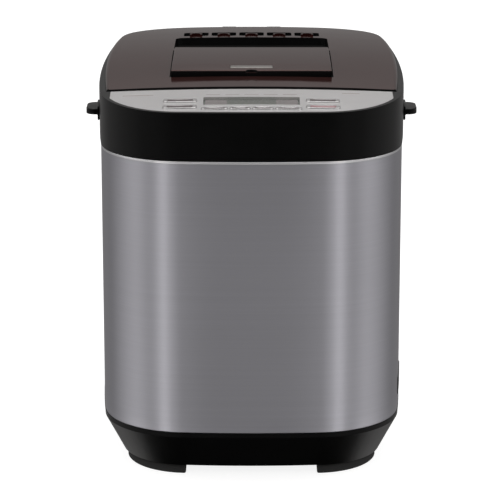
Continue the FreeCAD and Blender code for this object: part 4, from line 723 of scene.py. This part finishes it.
class BREAD_OT_steel_wrap(Operator):
    """The brushed steel wrap with a rolled bead under the collar and a hole for the side vent"""

    bl_idname = "bread.steel_wrap"
    bl_label = "Steel wrap"

    def execute(self, context):
        curve = plan_curve(steps=(40, 36, 60))
        levels = (*VENT_Z, 120.0, 190.0)
        outer = [(1.25, WRAP_LOW + 0.05), (0.95, WRAP_LOW + 0.12), (WRAP_INSET, WRAP_LOW + 0.45),
                 *((WRAP_INSET, level) for level in levels), (WRAP_INSET, WRAP_HIGH - 2.6)]
        bead = arc_profile(BEAD_INSET, WRAP_HIGH - BEAD_DROP, BEAD_RADIUS, -62, 100, 12)
        inner = [(SHEET_INSIDE, WRAP_HIGH - 1.0),
                 *((SHEET_INSIDE, level) for level in levels[::-1]),
                 (SHEET_INSIDE, WRAP_LOW + 0.3)]
        rings = carried(curve, outer + bead + inner)
        faces = np.array(grid_faces(*rings.shape[:2], wrap_rows=True, wrap_columns=True))
        x, y, z = rings.reshape(-1, 3)[faces].mean(axis=1).T
        beside = (x > 100) & (y > VENT_Y[0]) & (y < VENT_Y[1])
        vent = beside & (z > VENT_Z[0]) & (z < VENT_Z[1])
        wrap = mesh_piece("steel_wrap", rings.reshape(-1, 3), faces[~vent])
        wrap.data.flip_normals()
        self.map_grain(wrap)
        creased(wrap, 40)
        hold(wrap, "housing", "outer_steel", "outer_wrap")
        wrap.data.materials.append(finish("polished_edge"))
        faces = wrap.data.polygons
        on_bead = read(faces, "center")[:, 2] > (WRAP_HIGH - 2 * BEAD_DROP) * MM
        faces.foreach_set("material_index", on_bead.astype(np.int32))
        self.seam()
        return {"FINISHED"}

    def map_grain(self, wrap):
        """A map of (height, turn round the middle), so the gloss is drawn out across the brushing.

        The turn is worked out face by face, so that it never jumps inside a face.
        """
        mesh = wrap.data
        corner = read(mesh.loops, "vertex_index", 1, np.int32)[:, 0]
        place = read(mesh.vertices, "co")[corner]
        first = np.repeat([p.loop_start for p in mesh.polygons],
                          [p.loop_total for p in mesh.polygons])
        angle = np.arctan2(place[:, 0], -place[:, 1])
        base = angle[first]
        angle = base + (angle - base + math.pi) % (2 * math.pi) - math.pi
        spot = np.stack([place[:, 2] * 2.0, angle * 0.15], axis=-1)
        layer = mesh.uv_layers.new(name="lie")
        layer.data.foreach_set("uv", spot.ravel())

    def seam(self):
        """The folded joint of the sheet up the middle of the back: a low strip with round edges."""
        across = np.array([-3.2, -3.0, -2.6, 2.6, 3.0, 3.2])
        lift = np.array([0.0, 0.28, 0.42, 0.42, 0.28, 0.0])
        high = np.array([WRAP_LOW + 0.5, 100.0, 180.0, WRAP_HIGH - 2.4])
        fall = FRONT_BOW - np.sqrt(FRONT_BOW**2 - across**2)
        y = HALF_DEPTH - WRAP_INSET - fall + lift - 0.02
        points = np.stack(np.broadcast_arrays(across, y, high[:, None]), axis=-1)
        back = points.copy()
        back[..., 1] = y - lift - 0.3
        strip = closed("wrap_seam", np.concatenate([points, back[:, ::-1]], axis=1))
        creased(strip, 50)
        hold(strip, "housing", "screw_steel")


class BREAD_OT_lid(Operator):
    """The lid's shell, its edge rounded more where the wall is tall enough"""

    bl_idname = "bread.lid"
    bl_label = "Lid"

    def execute(self, context):
        envelope = self.envelope(context.scene.bread_sizes.lid_round / MM)
        shell = trimmed(cad_copy("lid_skin", "lid_shell"), envelope, "INTERSECT")
        creased(shell, 28)
        even = shell.modifiers.new("even", "WEIGHTED_NORMAL")
        even.keep_sharp = True
        even.weight = 100
        apply_modifiers(shell)
        hold(shell, "lid", "lid_plastic", "lid_shell")
        painted_shade_tones(shell)
        return {"FINISHED"}

    def envelope(self, largest):
        """A closed form just outside the lid whose upper edge is a quarter round.

        The outline is the casing's, set in, and cut straight in front. At inset d the height is
        top - r + sqrt(r^2 - (r - d)^2), with r from the front's round to the largest at the sides.
        """
        curve = plan_curve(steps=(30, 30, 60))
        keep = inset_points(curve, LID_INSET)[:, 1] > LID_FRONT + 3.0
        turn = np.argmax(keep)
        order = np.concatenate([np.arange(turn, len(keep)), np.arange(turn)])
        order = order[keep[order]]
        count, half, flat = 28, 108.0, 100.0
        front = {"centre": np.column_stack([np.linspace(-half, half, count),
                                            np.full(count, LID_FRONT + flat - LID_INSET)]),
                 "radius": np.full(count, flat),
                 "normal": np.tile((0.0, -1.0), (count, 1))}
        edge = {key: np.concatenate([curve[key][order], front[key]]) for key in curve}
        side = len(order)

        def ring(inset, drop):
            """The outline set in, with the two corners where the sides meet the front put in."""
            points = inset_points(edge, LID_INSET + inset)
            at = np.broadcast_to(inset, len(points))[[side - 1, side]]
            arm = CORNER - LID_INSET - at
            reach = CORNER_X + np.sqrt(arm**2 - (-LID_FRONT - CORNER_Y - at) ** 2)
            mitre = np.column_stack([reach * (-1, 1), LID_FRONT + at])
            points = np.concatenate([points[:side], mitre[:1], points[side:], mitre[1:]])
            drop = np.broadcast_to(drop, len(edge["radius"]))
            drop = np.concatenate([drop[:side], drop[side:side + 1], drop[side:], drop[-1:]])
            return points, drop

        outline = inset_points(edge, LID_INSET)
        top = lid_height(outline[:, 0], outline[:, 1])
        growth = np.clip((outline[:, 1] - LID_FRONT - 5.0) / 30.0, 0, 1)
        r = LID_FRONT_ROUND + (largest - LID_FRONT_ROUND) * growth
        r = np.minimum(r, 0.85 * (top - LID_BOTTOM))
        slack = 0.03
        low, _ = ring(-slack, 0.0)
        rings = [np.column_stack([low, np.full(len(low), 300.0)])]
        for angle in np.radians(np.linspace(0, 90, 8)):
            inset = r * (1 - math.cos(angle)) - slack * math.cos(angle)
            points, drop = ring(inset, r * (1 - math.sin(angle)))
            level = lid_height(points[:, 0], points[:, 1]) - drop + 2 * slack
            rings.append(np.column_stack([points, level]))
        middle = np.array([0.0, LID_PEAK_Y])
        for share in np.linspace(0.95, 0.05, 19):
            inner = middle + share * (points - middle)
            rings.append(np.column_stack([inner, lid_height(inner[:, 0], inner[:, 1]) + 2 * slack]))
        return closed("lid_envelope", rings)


class BREAD_OT_door(Operator):
    """The dispenser door and its badge with soft edges"""

    bl_idname = "bread.door"
    bl_label = "Dispenser door"

    def execute(self, context):
        door = softened(cad_copy("door_skin", "dispenser_door"), width=1.9, segments=5)
        hold(door, "door", "lid_plastic", "dispenser_door")
        painted_shade_tones(door)
        badge = softened(cad_copy("badge_plate", "door_badge"), width=0.25)
        hold(badge, "door", "badge", "door_badge")
        return {"FINISHED"}


class BREAD_OT_casing(Operator):
    """The collar trimmed at its hinge knuckles, and feet and carrying ears with soft edges"""

    bl_idname = "bread.casing"
    bl_label = "Casing parts"

    def execute(self, context):
        collar = cad_copy("collar_skin", "top_collar")
        (left, right), (front, back), levels = KNUCKLE_TOP
        rings = [[(left, front, z), (right, front, z), (right, back, z), (left, back, z)]
                 for z in levels]
        trimmed(collar, closed("knuckle_trim", rings))
        hold(creased(collar, 28), "housing", "black_casing", "top_collar")
        for name, width, slot in (("foot_pads", 1.6, "rubber_black"),
                                  ("side_handle_left", 0.7, "black_casing"),
                                  ("side_handle_right", 0.7, "black_casing")):
            piece = softened(cad_copy(name + "_soft", name), width)
            hold(piece, "housing", slot, name)
        return {"FINISHED"}


class BREAD_OT_buttons(Operator):
    """Eight dished buttons, each with a printed mark in its hollow"""

    bl_idname = "bread.buttons"
    bl_label = "Buttons"

    def execute(self, context):
        long, inner, outer = (26.0, 8.0), (16.2, 6.0), (20.6, 6.0)
        for name, u, v, size in (
                ("left_upper", -55.5, 29.0, long), ("left_lower", -55.5, 13.4, long),
                ("right_upper", 55.5, 29.0, long), ("right_lower", 55.5, 13.4, long),
                ("bar_first", -28.6, 8.2, outer), ("bar_second", -8.8, 8.2, inner),
                ("bar_third", 8.8, 8.2, inner), ("bar_fourth", 28.6, 8.2, outer)):
            self.button(name, u, v, size, "blush_ink" if name == "right_lower" else "panel_ink")
        return {"FINISHED"}

    def button(self, name, u, v, size, ink):
        """A cap whose wall turns over a rim into a hollow: rings of the pill outline drawn in,
        each at rim height less depth * (1 - (x/a)^2) * (1 - (y/b)^2)."""
        width, length = size
        half = np.array(size) / 2 - BUTTON_RIM
        outline = pill_outline(width - 0.1, length - 0.1, BUTTON_CORNER)
        rings = [on_panel(u + outline[:, 0], v + outline[:, 1], BUTTON_FOOT)]
        for angle in np.radians(np.linspace(0, 90, 4)):
            rim = outline * (1 - BUTTON_RIM * (1 - math.cos(angle)) * 2 / np.array(size))
            x, y = rim.T
            rings.append(on_panel(u + x, v + y, BUTTON_RISE - BUTTON_RIM * (1 - math.sin(angle))))
        for share in (0.95, 0.88, 0.78, 0.66, 0.52, 0.38, 0.24, 0.1, 0.02):
            x, y = (rim * share).T
            rings.append(on_panel(u + x, v + y, button_hollow(x, y, *half)))
        cap = closed(f"button_{name}_cap", rings)
        stem = cad_copy(f"button_{name}_stem", f"button_{name}")
        self.lower_top(stem.data)
        work = bmesh.new()
        work.from_mesh(cap.data)
        work.from_mesh(stem.data)
        work.to_mesh(cap.data)
        work.free()
        bpy.data.objects.remove(stem)
        creased(cap, 35)
        hold(cap, f"button_{name}", "button_silver", f"button_{name}")
        self.mark(name, u, v, size, half, ink)

    def mark(self, name, u, v, size, half, ink):
        """A printed bar in the hollow, a share of the button's size, that follows its dish."""
        x, y = bar_outline(0, 0, 0.76 * size[0], 0.4 * size[1], steps=9).T
        face = button_hollow(x, y, *half)
        bar = closed(f"mark_{name}", [on_panel(u + x, v + y, face + w) for w in (-0.1, 0.2)])
        hold(bar, f"button_{name}", "button_silver", tint=ink)

    def lower_top(self, mesh):
        """Sinks the plain face of a button's own solid so that it stays inside the dished cap."""
        place = read(mesh.vertices, "co") / MM
        lean = np.array([0.0, -math.sin(PANEL_SLOPE), math.cos(PANEL_SLOPE)])
        drop = PANEL_CROWN - np.sqrt(PANEL_CROWN**2 - place[:, 0] ** 2)
        above = (place - (0.0, PANEL_FRONT, PANEL_HEIGHT)) @ lean + drop
        sink = np.where(above > 0.0, above + 0.3, 0.0)
        place -= sink[:, None] * lean
        mesh.vertices.foreach_set("co", (place * MM).ravel())
        mesh.update()


class BREAD_OT_display(Operator):
    """The display behind its window, and the fine print on the panel"""

    bl_idname = "bread.display"
    bl_label = "Display and print"

    def execute(self, context):
        module = cad_copy("display_case", "display_module")
        lean = Vector((0.0, math.sin(PANEL_SLOPE), -math.cos(PANEL_SLOPE)))
        module.data.transform(Matrix.Translation(lean * MODULE_SINK * MM))
        hold(creased(module), "housing", "display", "display_module")
        for name, u, width, tint in (("display_middle", 0.0, 38.0, "display"),
                                     ("display_left", -SIDE_PLATE, 16.6, "display_side"),
                                     ("display_right", SIDE_PLATE, 16.6, "display_side")):
            bar = (u, WINDOW_ALONG, width, 17.0)
            self.marks(name, [bar], PLATE_LOW, PLATE_HIGH, tint, "display")
        on_plate = (PLATE_HIGH - 0.05, PLATE_HIGH + 0.025)
        self.marks("display_figures", self.figures(), *on_plate, "display_ink", "display")
        rows = [(side * SIDE_PLATE, WINDOW_ALONG + rise, 12.5 - abs(rise) * 0.3, 0.7)
                for side in (-1, 1) for rise in (-6.0, -2.0, 2.0, 6.0)]
        self.marks("display_lists", rows, *on_plate, "panel_ink", "display")
        fine = [(-89.0, 45.0, 24.0, 0.8), (78.0, 49.5, 14.0, 0.8)]
        fine += [(u, 44.0, 11.0, 0.6) for u in (-30.0, -15.0, 0.0, 15.0, 30.0)]
        self.marks("panel_print", fine, -0.1, 0.03, "faint_ink", "fascia_silver")
        return {"FINISHED"}

    def figures(self):
        """Bars of a clock reading as (across, up, width, height): four digits and a colon."""
        bars = []
        lit = {"0": "abcdef", "3": "abgcd", "2": "abged", "5": "afgcd"}
        spots = {"a": (0, 1), "d": (0, -1), "g": (0, 0), "b": (1, 0.5), "c": (1, -0.5),
                 "e": (-1, -0.5), "f": (-1, 0.5)}
        for digit, u in zip("3025", (-12.2, -4.4, 4.4, 12.2)):
            for key in lit[digit]:
                right, up = spots[key]
                width, height = (3.7, 0.9) if key in "adg" else (0.9, 4.3)
                bars.append((u + right * 2.3, WINDOW_ALONG + 0.6 + up * 5.2, width, height))
        bars += [(0.0, WINDOW_ALONG + 0.6 + rise, 0.9, 0.9) for rise in (-2.2, 2.2)]
        return bars

    def marks(self, name, bars, low, high, tint, slot):
        """One piece of thin plates on the panel, each (across, up, width, height)."""
        parts = [panel_plate(bar_outline(*bar), low, high) for bar in bars]
        hold(creased(outward(joined(name, parts))), "housing", slot, tint=tint)


class BREAD_OT_stage(Operator):
    """The pale floor, the studio light and the camera"""

    bl_idname = "bread.stage"
    bl_label = "Stage"

    def execute(self, context):
        sizes = context.scene.bread_sizes
        context.scene.view_settings.view_transform = "Standard"
        self.floor()
        self.room(context.scene)
        self.lamp("top_softbox", place=(0.0, 0.25, 1.9), target=(0.0, 0.0, 0.2),
                  size=1.6, power=16.0)
        data = bpy.data.cameras.new("camera")
        data.lens = sizes.camera_lens
        data.sensor_width = 36.0
        data.shift_x = -0.003
        camera = bpy.data.objects.new("camera", data)
        camera.location = (0.0, -sizes.camera_distance, sizes.camera_height)
        camera.rotation_euler = (math.pi / 2 - sizes.camera_pitch, 0.0, 0.0)
        context.scene.collection.objects.link(camera)
        context.scene.camera = camera
        return {"FINISHED"}

    def lamp(self, name, place, target, size, power):
        """A square area lamp turned towards a point."""
        data = bpy.data.lights.new(name, "AREA")
        data.shape = "SQUARE"
        data.size = size
        data.energy = power
        lamp = bpy.data.objects.new(name, data)
        lamp.location = place
        lamp.rotation_euler = (Vector(target) - Vector(place)).to_track_quat("-Z", "Y").to_euler()
        bpy.context.scene.collection.objects.link(lamp)

    def floor(self):
        """A pale table, bright in the picture and unseen by gloss and bounced light."""
        reach = np.array([-4000.0, -600.0, 600.0, 4000.0])
        x, y = np.meshgrid(reach, reach)
        points = np.stack([x, y, np.zeros_like(x)], axis=-1).reshape(-1, 3)
        floor = mesh_piece("floor", points, grid_faces(4, 4))
        made, tree, shader = blank("floor_white")
        place = on_object(tree)
        tint = mixed_colour(tree, noise(tree, place, 3.0), (0.34, 0.34, 0.34), (0.36, 0.36, 0.36))
        tree.links.new(tint, shader.inputs["Base Color"])
        shader.inputs["Roughness"].default_value = 0.9
        shader.inputs["Emission Color"].default_value = (1.0, 1.0, 1.0, 1.0)
        shader.inputs["Emission Strength"].default_value = 0.86
        floor.data.materials.append(made)
        floor.visible_glossy = False
        floor.visible_diffuse = False

    def room(self, scene):
        """Light from all round as a function of direction: dark in front, strips to each side,
        a bright wall behind and a softer ceiling."""
        world = bpy.data.worlds.new("studio")
        world.use_nodes = True
        tree = world.node_tree
        tree.nodes.clear()
        way = node(tree, "ShaderNodeTexCoord").outputs["Generated"]
        axes = node(tree, "ShaderNodeSeparateXYZ", {0: way}).outputs
        turn = maths(tree, "ARCTAN2", axes["X"], times(tree, axes["Y"], -1.0))
        share = maths(tree, "DIVIDE", maths(tree, "ABSOLUTE", turn), math.pi)
        rise = maths(tree, "ARCSINE", axes["Z"])
        low = self.round_room(tree, share, LOW_ROOM)
        high = self.round_room(tree, share, HIGH_ROOM)
        level = maths(tree, "MAXIMUM", self.between(tree, rise, *WINDOW_TOP),
                      self.between(tree, rise, *WINDOW_FOOT))
        ceiling = self.between(tree, rise, *CEILING)
        ground = self.between(tree, rise, *GROUND)
        side = plus(tree, times(tree, high, level), times(tree, low, minus(tree, 1.0, level)))
        side = times(tree, side, minus(tree, 1.0, ceiling))
        side = plus(tree, side, times(tree, ceiling, CEILING_LIGHT))
        light = times(tree, side, minus(tree, 1.0, times(tree, ground, GROUND_SHADE)))
        studio = node(tree, "ShaderNodeBackground",
                      {"Color": (1.0, 0.985, 0.975, 1.0), "Strength": light})
        white = node(tree, "ShaderNodeBackground", {"Color": (1.0, 1.0, 1.0, 1.0)})
        seen = node(tree, "ShaderNodeLightPath").outputs["Is Camera Ray"]
        both = node(tree, "ShaderNodeMixShader",
                    {0: seen, 1: studio.outputs[0], 2: white.outputs[0]})
        node(tree, "ShaderNodeOutputWorld", {0: both.outputs[0]})
        scene.world = world

    def round_room(self, tree, share, stops):
        """Brightness by a direction's turn from the front, from (degrees, value) stops."""
        ramp = node(tree, "ShaderNodeValToRGB", {"Fac": share})
        bar = ramp.color_ramp
        while len(bar.elements) < len(stops):
            bar.elements.new(0.5)
        for element, (angle, value) in zip(bar.elements, stops):
            element.position = angle / 180
            element.color = (value, value, value, 1.0)
        return ramp.outputs["Color"]

    def between(self, tree, rise, start, end):
        """0 below one elevation in degrees to 1 beyond another."""
        ends = {"Value": rise, "From Min": math.radians(start), "From Max": math.radians(end)}
        return node(tree, "ShaderNodeMapRange", ends, interpolation_type="SMOOTHSTEP").outputs[0]


class BREAD_OT_frame_finishes(Operator):
    """Gives every CAD node that still shows the finish of its slot"""

    bl_idname = "bread.frame_finishes"
    bl_label = "Frame finishes"

    def execute(self, context):
        slots = {part["node"]: part["material_slot"] for part in FRAME["record"]["subparts"]}
        slots["dispenser_pins"] = "pin_dark"
        for name, piece in FRAME["nodes"].items():
            if not piece.hide_render:
                piece.data.materials.clear()
                piece.data.materials.append(finish(slots[name]))
        return {"FINISHED"}


class BREAD_PT_looks(Panel):
    """Lists the pieces in the 3D view's sidebar"""

    bl_label = "Bread Machine"
    bl_idname = "BREAD_PT_looks"
    bl_space_type = "VIEW_3D"
    bl_region_type = "UI"
    bl_category = "Bread Machine"

    def draw(self, context):
        layout = self.layout
        for group in (context.scene.bread_sizes, context.scene.bread_finishes):
            for name in group.__annotations__:
                layout.prop(group, name)
        for step in STEPS:
            layout.operator(step.bl_idname)


STEPS = (BREAD_OT_steel_wrap, BREAD_OT_lid, BREAD_OT_door, BREAD_OT_casing, BREAD_OT_buttons,
         BREAD_OT_display, BREAD_OT_frame_finishes, BREAD_OT_stage)
CLASSES = (BreadSizes, BreadFinishes, *STEPS, BREAD_PT_looks)


def register():
    """Adds the classes and their settings on the scene."""
    for item in CLASSES:
        bpy.utils.register_class(item)
    bpy.types.Scene.bread_sizes = PointerProperty(type=BreadSizes)
    bpy.types.Scene.bread_finishes = PointerProperty(type=BreadFinishes)


def unregister():
    """Takes the settings and classes away again."""
    del bpy.types.Scene.bread_finishes
    del bpy.types.Scene.bread_sizes
    for item in reversed(CLASSES):
        bpy.utils.unregister_class(item)


def main():
    """Makes every piece and the stage."""
    register()
    for step in STEPS:
        getattr(bpy.ops.bread, step.bl_idname.split(".")[1])()


if __name__ == "__main__":
    main()
